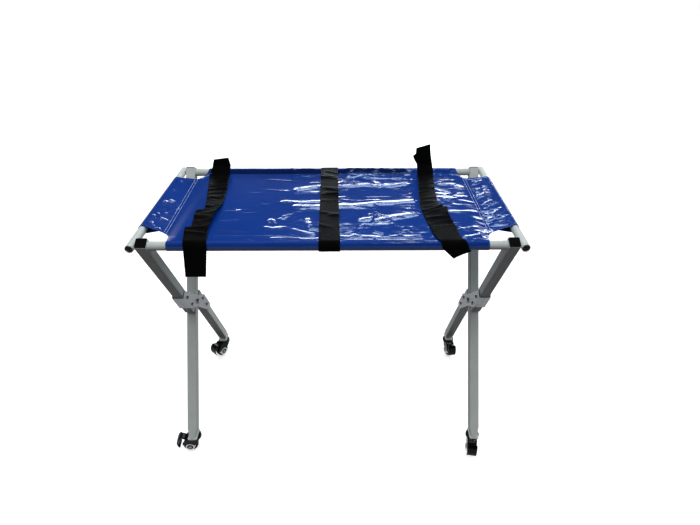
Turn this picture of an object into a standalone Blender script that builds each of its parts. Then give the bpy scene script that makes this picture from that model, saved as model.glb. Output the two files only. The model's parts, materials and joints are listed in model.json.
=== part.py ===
"""Folding examination table: a PVC sheet stretched on a tube frame with crossed legs on casters.

Units are metres, +Z is up, +X runs along the table and +Y points away from the front rail.
Two frames cross like scissors. The front frame holds the front rail and the split legs, which run
from the front rail down to the rear casters. The two halves of a split leg stand one leg width to
either side of the pivot, so that the through leg lies between them when the table is folded. The
rear frame holds the rear rail and the through legs, which run from the rear rail down to the front
casters.
"""

import math

import bmesh
import bpy
from mathutils import Matrix, Vector
from mathutils.geometry import convex_hull_2d

# Overall layout
LEG_SPACING = 0.933
TOP_SPREAD = 0.481
TOP_HEIGHT = 0.8225
FOOT_SPREAD = 0.486
CLEARANCE = 0.0003
FOLD_CLEARANCE = 0.001

# Square legs and their end plugs
LEG_SIZE = 0.030
LEG_WALL = 0.0015
LEG_CORNER = 0.003
PLUG_HEAD_SIZE = 0.0285
PLUG_HEAD_HEIGHT = 0.0025
PLUG_SPIGOT_DEPTH = 0.006
PLUG_BEVEL = 0.0008
FOOT_TAPER_LENGTH = 0.024
FOOT_TAPER_SIZE = 0.021

# Side rails and end spreader bars
RAIL_RADIUS = 0.012
RAIL_WALL = 0.0015
RAIL_DROP = 0.0155
BAR_RADIUS = 0.011
BAR_WALL = 0.0015
BAR_OVERHANG = 0.0179

# Rail end plugs and the studs that the spreader bars hook on
RAIL_PLUG_LENGTH = 0.025
STUD_ENGAGEMENT = 0.020
STUD_SHANK_RADIUS = 0.005
STUD_FLANGE_RADIUS = 0.009
STUD_FLANGE_THICKNESS = 0.0012
STUD_NOSE_RADIUS = 0.0065
STUD_TIP_RADIUS = 0.0015
STUD_NOSE_LENGTH = 0.0006

# Cross plates, their bolts and the leg pivot
PLATE_THICKNESS = 0.0025
PLATE_HUB_RADIUS = 0.018
PLATE_END_RADIUS = 0.006
PLATE_REACH = 0.135
FLANGE_START = 0.055
FLANGE_END_INSET = 0.004
BOLT_RADIUS = 0.003
BOLT_HEAD_RADIUS = 0.0055
BOLT_HEAD_HEIGHT = 0.004
BOLT_NUT_HEIGHT = 0.005
BOLT_REACHES = {"near": 0.048, "far": 0.100}
TUBE_SETBACK = 0.012
PIVOT_RADIUS = 0.005
PIVOT_HEAD_RADIUS = 0.0095
PIVOT_HEAD_HEIGHT = 0.005
PIVOT_NUT_HEIGHT = 0.007

# Stretched sheet: a panel a little above the rails' axes, with a sleeve sewn along each edge
SHEET_THICKNESS = 0.0014
SHEET_RISE = 0.003
SHEET_SLEEVE_INSET = 0.0615
SHEET_FRONT_CUT = 0.079
SHEET_REAR_CUT = 0.066
RAIL_SEAM = 0.042
BAR_SEAM = 0.066
SEAM_DEPTH = 0.006

# Webbing straps: stations are (share of the way to a rail, distance in from the legs)
STRAP_WIDTH = 0.054
STRAP_THICKNESS = 0.0016
STRAP_BEND_RADIUS = 0.012
STRAP_TAIL_ANGLE = math.radians(80)
STRAP_TAIL_LEAN = 0.007
LEFT_STRAP_STATIONS = ((1.02, 0.0995), (0.44, 0.1165), (-0.2, 0.130), (-0.7, 0.125), (-1.06, 0.133),
                       (-1.1, 0.125))
LEFT_STRAP_FRONT_TAIL = 0.080
LEFT_STRAP_REAR_TAIL = 0.031
MIDDLE_STRAP_X = -0.0035
MIDDLE_STRAP_DRIFT = -0.0133
RIGHT_STRAP_STATIONS = ((1.04, 0.160), (0.31, 0.175), (-0.05, 0.1806), (-0.38, 0.1755), (-0.97, 0.1605),
                        (-1.06, 0.156), (-1.1, 0.124))
RIGHT_STRAP_FRONT_TAIL = 0.027
RIGHT_STRAP_REAR_TAIL = 0.073

# Foot plates and casters, in the caster's own frame: the wheel trails along its +X
FOOT_PLATE_LENGTH = 0.046
FOOT_PLATE_WIDTH = 0.030
FOOT_PLATE_THICKNESS = 0.004
FOOT_PLATE_CORNER = 0.005
CASTER_HEIGHT = 0.074
CASTER_INSET = 0.008
CASTER_TRAIL = 0.019
STEM_RADIUS = 0.004
STEM_NUT_RADIUS = 0.0075
STEM_NUT_HEIGHT = 0.0065
STEM_END_LENGTH = 0.006
STEM_FLANGE_RADIUS = 0.012
STEM_FLANGE_THICKNESS = 0.0022
KINGPIN_RADIUS = 0.005
KINGPIN_HEAD_RADIUS = 0.009
KINGPIN_HEAD_HEIGHT = 0.003
CROWN_RADIUS = 0.022
CROWN_HEIGHT = 0.0104
CROWN_EDGE = 0.004
CHEEK_THICKNESS = 0.0035
CHEEK_GAP = 0.0015
CHEEK_AXLE_BOSS = 0.0095
CHEEK_FRONT_REACH = 0.012
CHEEK_FRONT_RADIUS = 0.004
CHEEK_REAR_RADIUS = 0.008
CHEEK_HOOD_RADIUS = 0.009
CHEEK_HOOD_X = 0.033
CHEEK_HOOD_HEIGHT = 0.041
WHEEL_RADIUS = 0.025
TYRE_WIDTH = 0.021
TYRE_DEPTH = 0.0062
TYRE_SHOULDER = 0.005
HUB_BOSS_RADIUS = 0.008
HUB_WEB_WIDTH = 0.010
HUB_RIM_DEPTH = 0.0035
HUB_RIM_WIDTH = 0.018
AXLE_RADIUS = 0.003
AXLE_HEAD_RADIUS = 0.0055
AXLE_HEAD_HEIGHT = 0.002
PEDAL_PIN_X = 0.024
PEDAL_PIN_HEIGHT = 0.0555
PEDAL_PIN_RADIUS = 0.002
PEDAL_BOSS_RADIUS = 0.0038
PEDAL_THICKNESS = 0.003
PEDAL_WIDTH = 0.031
PEDAL_ARM_ROUTE = ((0.0, 0.0), (0.010, 0.0075), (0.021, 0.0115), (0.027, 0.0085))
PEDAL_TREAD_ROUTE = ((0.0215, 0.0115), (0.030, 0.005), (0.0345, -0.010), (0.033, -0.0235), (0.029, -0.031))
CASTER_HEADINGS = {"front_left": math.radians(184), "front_right": math.radians(260),
                   "rear_left": math.radians(230), "rear_right": math.radians(279)}

# Facets
ROUND_STEPS = 22
WHEEL_STEPS = 20
SMALL_STEPS = 12
CORNER_STEPS = 2
HEX_SIDES = 6

# Sizes that follow from the driving ones
FOOT_HEIGHT = CASTER_HEIGHT + FOOT_PLATE_THICKNESS
LEG_RISE = TOP_HEIGHT - FOOT_HEIGHT
LEG_RUN = (TOP_SPREAD + FOOT_SPREAD) / 2
TILT = math.atan2(LEG_RUN, LEG_RISE)
PIVOT_HEIGHT = FOOT_HEIGHT + LEG_RISE * FOOT_SPREAD / (TOP_SPREAD + FOOT_SPREAD)
PLUG_TOP_REACH = math.hypot(TOP_SPREAD / 2, TOP_HEIGHT - PIVOT_HEIGHT)
FOOT_REACH = math.hypot(FOOT_SPREAD / 2, PIVOT_HEIGHT - FOOT_HEIGHT)
RAIL_REACH = PLUG_TOP_REACH - RAIL_DROP
RAIL_Y = RAIL_REACH * math.sin(TILT)
RAIL_HEIGHT = PIVOT_HEIGHT + RAIL_REACH * math.cos(TILT)
SPLIT_OFFSET = LEG_SIZE + FOLD_CLEARANCE
SPLIT_TILT = TILT - math.asin(SPLIT_OFFSET / RAIL_REACH)
SPLIT_TOP_REACH = RAIL_REACH * math.cos(TILT - SPLIT_TILT) + RAIL_DROP
SPLIT_FOOT_REACH = (PIVOT_HEIGHT - FOOT_HEIGHT + SPLIT_OFFSET * math.sin(SPLIT_TILT)) / math.cos(SPLIT_TILT)
REAR_FOOT_Y = SPLIT_OFFSET * math.cos(SPLIT_TILT) + SPLIT_FOOT_REACH * math.sin(SPLIT_TILT)
FRONT_FOOT_Y = -FOOT_SPREAD / 2
RAIL_LENGTH = LEG_SPACING - LEG_SIZE - 2 * CLEARANCE
BAR_X = (LEG_SPACING + LEG_SIZE) / 2 + STUD_FLANGE_THICKNESS + 2 * CLEARANCE + BAR_RADIUS
BAR_HEIGHT = RAIL_HEIGHT + RAIL_RADIUS - BAR_RADIUS
BAR_LENGTH = 2 * (RAIL_Y + BAR_OVERHANG)
PLATE_X = LEG_SIZE / 2 + CLEARANCE + PLATE_THICKNESS / 2
HALF_STACK = PLATE_X + PLATE_THICKNESS / 2 + CLEARANCE
SLEEVE_INNER = RAIL_RADIUS + CLEARANCE
SLEEVE_OUTER = SLEEVE_INNER + SHEET_THICKNESS
SLEEVE_HALF_LENGTH = LEG_SPACING / 2 - SHEET_SLEEVE_INSET
STRAP_RADIUS = SLEEVE_OUTER + CLEARANCE + STRAP_THICKNESS / 2
CROWN_TOP = CASTER_HEIGHT - 2 * CLEARANCE - STEM_FLANGE_THICKNESS
CROWN_BASE = CROWN_TOP - CROWN_HEIGHT
CASTERS = {"front_left": (-1, FRONT_FOOT_Y), "front_right": (1, FRONT_FOOT_Y),
           "rear_left": (-1, REAR_FOOT_Y), "rear_right": (1, REAR_FOOT_Y)}
FORK_INSIDE = TYRE_WIDTH / 2 + CHEEK_GAP
FORK_OUTSIDE = FORK_INSIDE + CHEEK_THICKNESS
HUB_RADIUS = WHEEL_RADIUS - TYRE_DEPTH - CLEARANCE

# Turns that lay a shape's own Z axis along X or Y
ALONG_X = Matrix.Rotation(math.pi / 2, 4, "Z") @ Matrix.Rotation(math.pi / 2, 4, "X")
ALONG_Y = Matrix.Rotation(-math.pi / 2, 4, "X")
UPRIGHT = Matrix.Rotation(math.pi / 2, 4, "X")
ABOUT_FACE = Matrix.Rotation(math.pi, 4, "Z")

# Finishes: sRGB hex, roughness, metallic
FINISHES = {
    "silver_paint": ("A4A8A6", 0.42, 0.55),
    "zinc_steel": ("B4B8BA", 0.35, 0.9),
    "black_plastic": ("161617", 0.45, 0.0),
    "black_rubber": ("1B1B1C", 0.7, 0.0),
    "dark_hub": ("3A3B3D", 0.4, 0.0),
    "blue_sheet": ("16379A", 0.22, 0.0),
    "black_webbing": ("1A1A1A", 0.65, 0.0),
}


def clear_scene():
    """Remove every object of the open scene."""
    for old in list(bpy.data.objects):
        bpy.data.objects.remove(old, do_unlink=True)


def linear(channel):
    """Turn one sRGB channel into a linear value."""
    return channel / 12.92 if channel <= 0.04045 else ((channel + 0.055) / 1.055) ** 2.4


def make_material(name):
    """Principled material of a named finish."""
    colour, roughness, metallic = FINISHES[name]
    material = bpy.data.materials.new(name)
    material.use_nodes = True
    shader = material.node_tree.nodes["Principled BSDF"]
    rgb = [linear(int(colour[i:i + 2], 16) / 255) for i in (0, 2, 4)]
    shader.inputs["Base Color"].default_value = (*rgb, 1.0)
    shader.inputs["Roughness"].default_value = roughness
    shader.inputs["Metallic"].default_value = metallic
    return material


def arc(x, y, radius, start, end, steps):
    """Points along an arc, angles in degrees, both ends included."""
    angles = [math.radians(start + (end - start) * i / steps) for i in range(steps + 1)]
    return [(x + radius * math.cos(a), y + radius * math.sin(a)) for a in angles]


def circle(radius, steps, x=0.0, y=0.0):
    """Closed loop of a circle."""
    return arc(x, y, radius, 0, 360, steps)[:-1]


def rounded_rectangle(width, height, radius, steps=CORNER_STEPS):
    """Closed loop of a rectangle with round corners, centred on the origin."""
    x = width / 2 - radius
    y = height / 2 - radius
    corners = ((x, y, 0), (-x, y, 90), (-x, -y, 180), (x, -y, 270))
    return [point for cx, cy, start in corners for point in arc(cx, cy, radius, start, start + 90, steps)]


def smooth_route(points, steps):
    """Points of a smooth curve through the given ones (Catmull-Rom)."""
    ends = [Vector(points[0]) * 2 - Vector(points[1]), *map(Vector, points),
            Vector(points[-1]) * 2 - Vector(points[-2])]
    route = []
    for a, b, c, d in zip(ends, ends[1:], ends[2:], ends[3:]):
        for i in range(steps):
            t = i / steps
            route.append(0.5 * (2 * b + (c - a) * t + (2 * a - 5 * b + 4 * c - d) * t * t
                                + (3 * b - a - 3 * c + d) * t ** 3))
    return [*route, Vector(points[-1])]


def band_outline(route, thickness):
    """Closed loop round a flat band that follows a route."""
    sides = ([], [])
    for i, point in enumerate(route):
        along = Vector(route[min(i + 1, len(route) - 1)]) - Vector(route[max(i - 1, 0)])
        normal = Vector((-along.y, along.x)).normalized() * (thickness / 2)
        sides[0].append(Vector(point) + normal)
        sides[1].append(Vector(point) - normal)
    return [*sides[0], *reversed(sides[1])]


def interpolate(stations, y):
    """Value at y between stations listed from the highest y down."""
    for (y0, x0), (y1, x1) in zip(stations, stations[1:]):
        if y >= y1:
            share = min(max((y0 - y) / (y0 - y1), 0.0), 1.0)
            return x0 + (x1 - x0) * share
    return stations[-1][1]


def weld(mesh):
    """Merge a mesh's doubled points and turn its faces outwards."""
    bm = bmesh.new()
    bm.from_mesh(mesh)
    bmesh.ops.remove_doubles(bm, verts=bm.verts, dist=1e-6)
    bmesh.ops.recalc_face_normals(bm, faces=bm.faces)
    bm.to_mesh(mesh)
    bm.free()
    return mesh


def evaluated_mesh(data, modify=None):
    """Plain mesh of a curve or mesh after an optional modifier set-up."""
    source = bpy.data.objects.new("source", data)
    bpy.context.scene.collection.objects.link(source)
    if modify:
        modify(source)
    depsgraph = bpy.context.evaluated_depsgraph_get()
    mesh = bpy.data.meshes.new_from_object(source.evaluated_get(depsgraph))
    bpy.data.objects.remove(source, do_unlink=True)
    return mesh


def plate_mesh(loops, thickness):
    """Flat closed plate with the given outline and holes, centred on its own XY plane."""
    curve = bpy.data.curves.new("outline", "CURVE")
    curve.dimensions = "2D"
    curve.fill_mode = "BOTH"
    curve.extrude = thickness / 2
    for loop in loops:
        spline = curve.splines.new("POLY")
        spline.points.add(len(loop) - 1)
        for point, (x, y) in zip(spline.points, loop):
            point.co = (x, y, 0.0, 1.0)
        spline.use_cyclic_u = True
    return weld(evaluated_mesh(curve))


def turned_mesh(profile, steps, ring=False):
    """Mesh turned about Z from (radius, height) points that run down the outer side."""
    bm = bmesh.new()
    points = [bm.verts.new((radius, 0.0, height)) for radius, height in profile]
    for a, b in zip(points, points[1:] + points[:1] if ring else points[1:]):
        bm.edges.new((a, b))
    mesh = bpy.data.meshes.new("profile")
    bm.to_mesh(mesh)
    bm.free()

    def screw(source):
        modifier = source.modifiers.new("turn", "SCREW")
        modifier.steps = steps
        modifier.render_steps = steps
        modifier.use_merge_vertices = True
        modifier.merge_threshold = 1e-5

    return weld(evaluated_mesh(mesh, screw))


def tube_mesh(radius, wall, length):
    """Hollow round tube along Z, centred on the origin."""
    return plate_mesh((circle(radius, ROUND_STEPS), circle(radius - wall, ROUND_STEPS)), length)


def copies_mesh(mesh, placements):
    """One mesh with a separate copy of a solid at each placement."""
    bm = bmesh.new()
    for placement in placements:
        start = len(bm.verts)
        bm.from_mesh(mesh)
        bm.verts.ensure_lookup_table()
        bmesh.ops.transform(bm, matrix=placement, verts=bm.verts[start:])
    result = bpy.data.meshes.new("copies")
    bm.to_mesh(result)
    bm.free()
    return result


class Assembly:
    """Collections, finishes and placing helpers that all sub-assemblies share."""

    def __init__(self):
        scene = bpy.context.scene.collection
        self.parts = bpy.data.collections.new("examination_table")
        self.cutters = bpy.data.collections.new("cutters")
        scene.children.link(self.parts)
        scene.children.link(self.cutters)
        self.materials = {name: make_material(name) for name in FINISHES}
        self.origin = self.empty("table_origin", None, Matrix())

    def empty(self, name, parent, placement):
        """Empty that carries pieces, placed in its parent's frame."""
        carrier = bpy.data.objects.new(name, None)
        self.parts.objects.link(carrier)
        carrier.parent = parent
        carrier.matrix_local = placement
        return carrier

    def part(self, name, mesh, finish, parent, placement=Matrix()):
        """Named piece of the table, placed in its parent's frame."""
        mesh.name = name
        mesh.materials.clear()
        mesh.materials.append(self.materials[finish])
        mesh.shade_smooth()
        mesh.set_sharp_from_angle(angle=math.radians(35))
        piece = bpy.data.objects.new(name, mesh)
        self.parts.objects.link(piece)
        piece.parent = parent
        piece.matrix_local = placement
        return piece

    def boolean(self, piece, mesh, parent, placement=Matrix(), operation="DIFFERENCE"):
        """Cut a shape out of a piece, or join it on."""
        tool = bpy.data.objects.new(f"{piece.name}_{operation.lower()}", mesh)
        self.cutters.objects.link(tool)
        tool.parent = parent
        tool.matrix_local = placement
        tool.hide_render = True
        tool.display_type = "WIRE"
        modifier = piece.modifiers.new(operation.title(), "BOOLEAN")
        modifier.operation = operation
        modifier.object = tool

    def drill(self, piece, radius, depth, parent, placements):
        """Drill round holes along the Z axis of each placement."""
        drill = plate_mesh((circle(radius, SMALL_STEPS),), depth)
        self.boolean(piece, copies_mesh(drill, placements), parent)


def box_mesh(width, depth, height):
    """Closed box centred on the origin."""
    bm = bmesh.new()
    bmesh.ops.create_cube(bm, size=1.0, matrix=Matrix.Diagonal((width, depth, height, 1.0)))
    mesh = bpy.data.meshes.new("box")
    bm.to_mesh(mesh)
    bm.free()
    return mesh


def at(x=0.0, y=0.0, z=0.0):
    """Placement at a point, unturned."""
    return Matrix.Translation((x, y, z))


def leg_tube_mesh(low, high):
    """Square leg tube between two reaches from the pivot."""
    bore = LEG_SIZE - 2 * LEG_WALL
    loops = (rounded_rectangle(LEG_SIZE, LEG_SIZE, LEG_CORNER),
             rounded_rectangle(bore, bore, LEG_CORNER - LEG_WALL))
    mesh = plate_mesh(loops, high - low)
    mesh.transform(at(z=(low + high) / 2))
    return mesh


def leg_foot_mesh(foot, high):
    """Leg tube from its foot up to a reach, pressed narrower along the table at its lower end."""
    low = -foot - LEG_SIZE
    start = -foot + FOOT_TAPER_LENGTH
    slope = (1 - FOOT_TAPER_SIZE / LEG_SIZE) / FOOT_TAPER_LENGTH
    bm = bmesh.new()
    bm.from_mesh(leg_tube_mesh(low, high))
    bmesh.ops.bisect_plane(bm, geom=[*bm.verts, *bm.edges, *bm.faces], plane_co=(0, 0, start),
                           plane_no=(0, 0, 1))
    for vert in bm.verts:
        vert.co.x *= 1 - slope * max(start - vert.co.z, 0.0)
    mesh = bpy.data.meshes.new("leg")
    bm.to_mesh(mesh)
    bm.free()
    return mesh


def plug_mesh():
    """Square end plug: a bevelled head on a spigot, with its top face at zero."""
    spigot = LEG_SIZE - 2 * LEG_WALL - 2 * CLEARANCE
    joint = PLUG_HEAD_HEIGHT / 2
    bm = bmesh.new()
    bm.from_mesh(plate_mesh((rounded_rectangle(PLUG_HEAD_SIZE, PLUG_HEAD_SIZE, LEG_CORNER),),
                            PLUG_HEAD_HEIGHT))
    rim = [edge for edge in bm.edges if all(vert.co.z > 0 for vert in edge.verts)
           and len(edge.link_faces) == 2 and any(abs(face.normal.z) < 0.5 for face in edge.link_faces)]
    bmesh.ops.bevel(bm, geom=rim, offset=PLUG_BEVEL, segments=1, affect="EDGES", profile=0.5)
    bmesh.ops.translate(bm, vec=(0, 0, -joint), verts=bm.verts)
    head = bpy.data.meshes.new("head")
    bm.to_mesh(head)
    bm.free()
    depth = PLUG_SPIGOT_DEPTH + joint
    tenon = plate_mesh((rounded_rectangle(spigot, spigot, LEG_CORNER - LEG_WALL),), depth)
    tenon.transform(at(z=-joint - depth / 2))
    tool = bpy.data.objects.new("tenon", tenon)
    bpy.context.scene.collection.objects.link(tool)

    def union(source):
        modifier = source.modifiers.new("join", "BOOLEAN")
        modifier.operation = "UNION"
        modifier.object = tool

    mesh = evaluated_mesh(head, union)
    bpy.data.objects.remove(tool, do_unlink=True)
    return mesh


def stud_mesh():
    """Rail end stud along +Z, from the rail plug out through a leg centred on zero."""
    face = LEG_SIZE / 2 + CLEARANCE
    flange = face + STUD_FLANGE_THICKNESS
    profile = ((0.0, flange + STUD_NOSE_LENGTH), (STUD_TIP_RADIUS, flange + STUD_NOSE_LENGTH),
               (STUD_NOSE_RADIUS, flange), (STUD_FLANGE_RADIUS, flange), (STUD_FLANGE_RADIUS, face),
               (STUD_SHANK_RADIUS, face), (STUD_SHANK_RADIUS, -face - STUD_ENGAGEMENT),
               (0.0, -face - STUD_ENGAGEMENT))
    return turned_mesh(profile, SMALL_STEPS)


def rail_mesh():
    """Rail tube along Z with a drilled plug welded into each end."""
    end = RAIL_LENGTH / 2
    plug = end - RAIL_PLUG_LENGTH
    hole = STUD_SHANK_RADIUS + CLEARANCE
    bore = RAIL_RADIUS - RAIL_WALL
    top = [(bore, plug), (hole, plug), (hole, end), (RAIL_RADIUS, end)]
    return turned_mesh(top + [(r, -z) for r, z in reversed(top)], ROUND_STEPS, ring=True)


def hex_bolt_mesh(shank, head_radius, head_height, nut_height):
    """Bolt and nut along Z clamping the two cross plates, head at +Z."""
    tail = 2 * BOLT_RADIUS / 3
    stack = plate_mesh((circle(shank, SMALL_STEPS),), 2 * HALF_STACK + head_height + nut_height)
    stack.transform(at(z=(head_height - nut_height) / 2))
    head = plate_mesh((circle(head_radius, HEX_SIDES),), head_height)
    head.transform(at(z=HALF_STACK + head_height / 2))
    nut = plate_mesh((circle(head_radius, HEX_SIDES),), nut_height - tail)
    nut.transform(at(z=-HALF_STACK - (nut_height - tail) / 2))
    tools = []
    for mesh in (head, nut):
        tool = bpy.data.objects.new("hexagon", mesh)
        bpy.context.scene.collection.objects.link(tool)
        tools.append(tool)

    def union(source):
        for tool in tools:
            modifier = source.modifiers.new("join", "BOOLEAN")
            modifier.operation = "UNION"
            modifier.object = tool

    stack.transform(Matrix.Diagonal((1.0, 1.0, 1.0 - 1e-4, 1.0)))
    mesh = evaluated_mesh(stack, union)
    for tool in tools:
        bpy.data.objects.remove(tool, do_unlink=True)
    return mesh


def cross_plate_outline():
    """Outline of a cross plate in its leg's frame: two arms that narrow to a waist at the pivot."""
    edge = SPLIT_OFFSET + LEG_SIZE / 2 + CLEARANCE + PLATE_THICKNESS - PLATE_END_RADIUS
    high = PLATE_REACH - PLATE_END_RADIUS
    points = circle(PLATE_HUB_RADIUS, ROUND_STEPS)
    for y, z in ((-edge, high), (PLATE_END_RADIUS / 2 - SPLIT_OFFSET, high), (-edge, FLANGE_START)):
        points += circle(PLATE_END_RADIUS, SMALL_STEPS, y, z)
    axis = Vector((-SPLIT_OFFSET, high)).normalized()
    arm = [Vector(points[i]) for i in convex_hull_2d(points)]
    arm = [point for point in arm if point.dot(axis) > CLEARANCE]
    arm.sort(key=lambda point: math.atan2(axis.cross(point), axis.dot(point)))
    return [tuple(point) for point in arm] + [tuple(-point) for point in arm]


def build_cross_plates(kit, frame, side, name):
    """Inner and outer plate that join a split leg's tubes across the through leg."""
    arm = (PLATE_REACH - FLANGE_END_INSET) - FLANGE_START
    flange = box_mesh(LEG_SIZE / 2 + PLATE_THICKNESS / 2, PLATE_THICKNESS - CLEARANCE, arm)
    flange_y = SPLIT_OFFSET + LEG_SIZE / 2 + CLEARANCE + (PLATE_THICKNESS - CLEARANCE) / 2
    flange_z = FLANGE_START + arm / 2
    for label, direction in (("inner", -side), ("outer", side)):
        blank = plate_mesh((cross_plate_outline(),), PLATE_THICKNESS)
        plate = kit.part(f"{name}_{label}_cross_plate", blank, "zinc_steel", frame,
                         at(x=side * LEG_SPACING / 2 + direction * PLATE_X) @ ALONG_X)
        depth = direction * (LEG_SIZE / 2 + CLEARANCE + PLATE_THICKNESS / 2) / 2
        offset = side * LEG_SPACING / 2 + depth + direction * CLEARANCE / 2
        flanges = copies_mesh(flange, [at(offset, -flange_y, flange_z), at(offset, flange_y, -flange_z)])
        kit.boolean(plate, flanges, frame, operation="UNION")
        bolts = [at(0, -sign * SPLIT_OFFSET, sign * reach) @ ALONG_X
                 for sign in (1, -1) for reach in BOLT_REACHES.values()]
        kit.drill(plate, BOLT_RADIUS + CLEARANCE, LEG_SPACING * 2, frame, bolts)
        kit.drill(plate, PIVOT_RADIUS + CLEARANCE, LEG_SPACING * 2, frame, [ALONG_X])


def build_front_frame(kit, frame):
    """Front rail, split legs, cross plates, bolts, plugs and rail studs."""
    rail_reach = SPLIT_TOP_REACH - RAIL_DROP
    kit.part("front_rail", rail_mesh(), "silver_paint", frame, at(0, -SPLIT_OFFSET, rail_reach) @ ALONG_X)
    for side, name in ((-1, "left"), (1, "right")):
        x = side * LEG_SPACING / 2
        top = at(x, -SPLIT_OFFSET)
        upper = kit.part(f"{name}_split_leg_upper", leg_tube_mesh(TUBE_SETBACK, tube_end(SPLIT_TOP_REACH)),
                         "silver_paint", frame, top)
        lower = kit.part(f"{name}_split_leg_lower", leg_foot_mesh(SPLIT_FOOT_REACH, -TUBE_SETBACK),
                         "silver_paint", frame, at(x, SPLIT_OFFSET))
        add_foot(kit, lower, side, REAR_FOOT_Y)
        for leg, arm, sign in ((upper, "upper", 1), (lower, "lower", -1)):
            for place, reach in BOLT_REACHES.items():
                spot = at(x, -sign * SPLIT_OFFSET, sign * reach)
                kit.drill(leg, BOLT_RADIUS + CLEARANCE, LEG_SIZE * 2, frame, [spot @ ALONG_X])
                bolt = hex_bolt_mesh(BOLT_RADIUS, BOLT_HEAD_RADIUS, BOLT_HEAD_HEIGHT, BOLT_NUT_HEIGHT)
                kit.part(f"{name}_{arm}_{place}_bolt", bolt, "zinc_steel", frame, spot @ facing(-side))
        build_cross_plates(kit, frame, side, name)
        pivot = hex_bolt_mesh(PIVOT_RADIUS, PIVOT_HEAD_RADIUS, PIVOT_HEAD_HEIGHT, PIVOT_NUT_HEIGHT)
        kit.part(f"{name}_pivot_bolt", pivot, "zinc_steel", frame, at(x) @ facing(-side))
        add_leg_top(kit, frame, upper, side, f"front_{name}", top @ at(z=SPLIT_TOP_REACH))


def build_rear_frame(kit, frame):
    """Rear rail, through legs, plugs and rail studs."""
    kit.part("rear_rail", rail_mesh(), "silver_paint", frame, at(z=RAIL_REACH) @ ALONG_X)
    for side, name in ((-1, "left"), (1, "right")):
        x = side * LEG_SPACING / 2
        leg = kit.part(f"{name}_through_leg", leg_foot_mesh(FOOT_REACH, tube_end(PLUG_TOP_REACH)),
                       "silver_paint", frame, at(x=x))
        add_foot(kit, leg, side, FRONT_FOOT_Y)
        kit.drill(leg, PIVOT_RADIUS + CLEARANCE, LEG_SIZE * 2, frame, [at(x) @ ALONG_X])
        add_leg_top(kit, frame, leg, side, f"rear_{name}", at(x, 0, PLUG_TOP_REACH))


def tube_end(top):
    """Upper end of a leg tube under the plug whose top face is at a reach."""
    return top - PLUG_HEAD_HEIGHT - CLEARANCE


def facing(direction):
    """Turn of a shape's +Z to +X or, for a negative direction, to -X."""
    return ALONG_X if direction > 0 else ABOUT_FACE @ ALONG_X


def add_leg_top(kit, frame, leg, side, label, place):
    """Plug in a leg's top, and the stud through the leg into the rail."""
    stud = place @ at(z=-RAIL_DROP) @ facing(side)
    kit.drill(leg, STUD_SHANK_RADIUS + CLEARANCE, LEG_SIZE * 2, frame, [stud])
    kit.part(f"{label}_leg_plug", plug_mesh(), "black_plastic", frame, place)
    kit.part(f"{label}_rail_stud", stud_mesh(), "zinc_steel", frame, stud)


def add_foot(kit, leg, side, foot_y):
    """Cut a leg's lower end level and weld on its foot plate, drilled for the caster stem."""
    depth = LEG_SIZE * 4
    middle = FOOT_HEIGHT - FOOT_PLATE_THICKNESS / 2
    inset = math.copysign(CASTER_INSET / 2, foot_y)
    block = box_mesh(LEG_SPACING * 2, FOOT_SPREAD * 3, depth)
    kit.boolean(leg, block, kit.origin, at(z=middle - depth / 2))
    loops = (rounded_rectangle(FOOT_PLATE_WIDTH, FOOT_PLATE_LENGTH, FOOT_PLATE_CORNER),
             circle(STEM_RADIUS + CLEARANCE, SMALL_STEPS, y=-inset))
    plate = plate_mesh(loops, FOOT_PLATE_THICKNESS)
    kit.boolean(leg, plate, kit.origin, at(side * LEG_SPACING / 2, foot_y - inset, middle), "UNION")


def build_spreader_bars(kit):
    """End bars that hold the rails apart, each hooked on two rail studs."""
    hole = STUD_NOSE_RADIUS + CLEARANCE
    for side, name in ((-1, "left"), (1, "right")):
        bar = kit.part(f"{name}_spreader_bar", tube_mesh(BAR_RADIUS, BAR_WALL, BAR_LENGTH), "silver_paint",
                       kit.origin, at(side * BAR_X, 0, BAR_HEIGHT) @ ALONG_Y)
        places = [at(side * (BAR_X - BAR_RADIUS), y, RAIL_HEIGHT) @ ALONG_X for y in (-RAIL_Y, RAIL_Y)]
        kit.drill(bar, hole, BAR_RADIUS, kit.origin, places)


def panel_outline():
    """Plan outline of the panel between the four seams, its corners cut from sleeve end to sleeve end."""
    seat = SEAM_DEPTH / 2
    x = BAR_X - BAR_SEAM + seat
    y = RAIL_Y - RAIL_SEAM + seat
    sleeve = SLEEVE_HALF_LENGTH - CLEARANCE
    front = SHEET_FRONT_CUT - RAIL_Y + CLEARANCE
    rear = RAIL_Y - SHEET_REAR_CUT - CLEARANCE
    right = [(sleeve, -y), (x, front), (x, rear), (sleeve, y)]
    return right + [(-px, py) for px, py in reversed(right)]


def sleeve_mesh(radius, seam, rise, length):
    """Sleeve along Z round a tube: a tear-shaped section whose two layers meet in a seam at +X."""
    layer = SHEET_THICKNESS / 2
    inner = radius + CLEARANCE
    pocket = seam - SEAM_DEPTH
    sections = (circle(inner + SHEET_THICKNESS, ROUND_STEPS) + [(seam, rise + layer), (seam, rise - layer)],
                circle(inner, ROUND_STEPS) + [(pocket, rise + CLEARANCE), (pocket, rise - CLEARANCE)])
    return plate_mesh([[points[i] for i in convex_hull_2d(points)] for points in sections], length)


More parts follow.
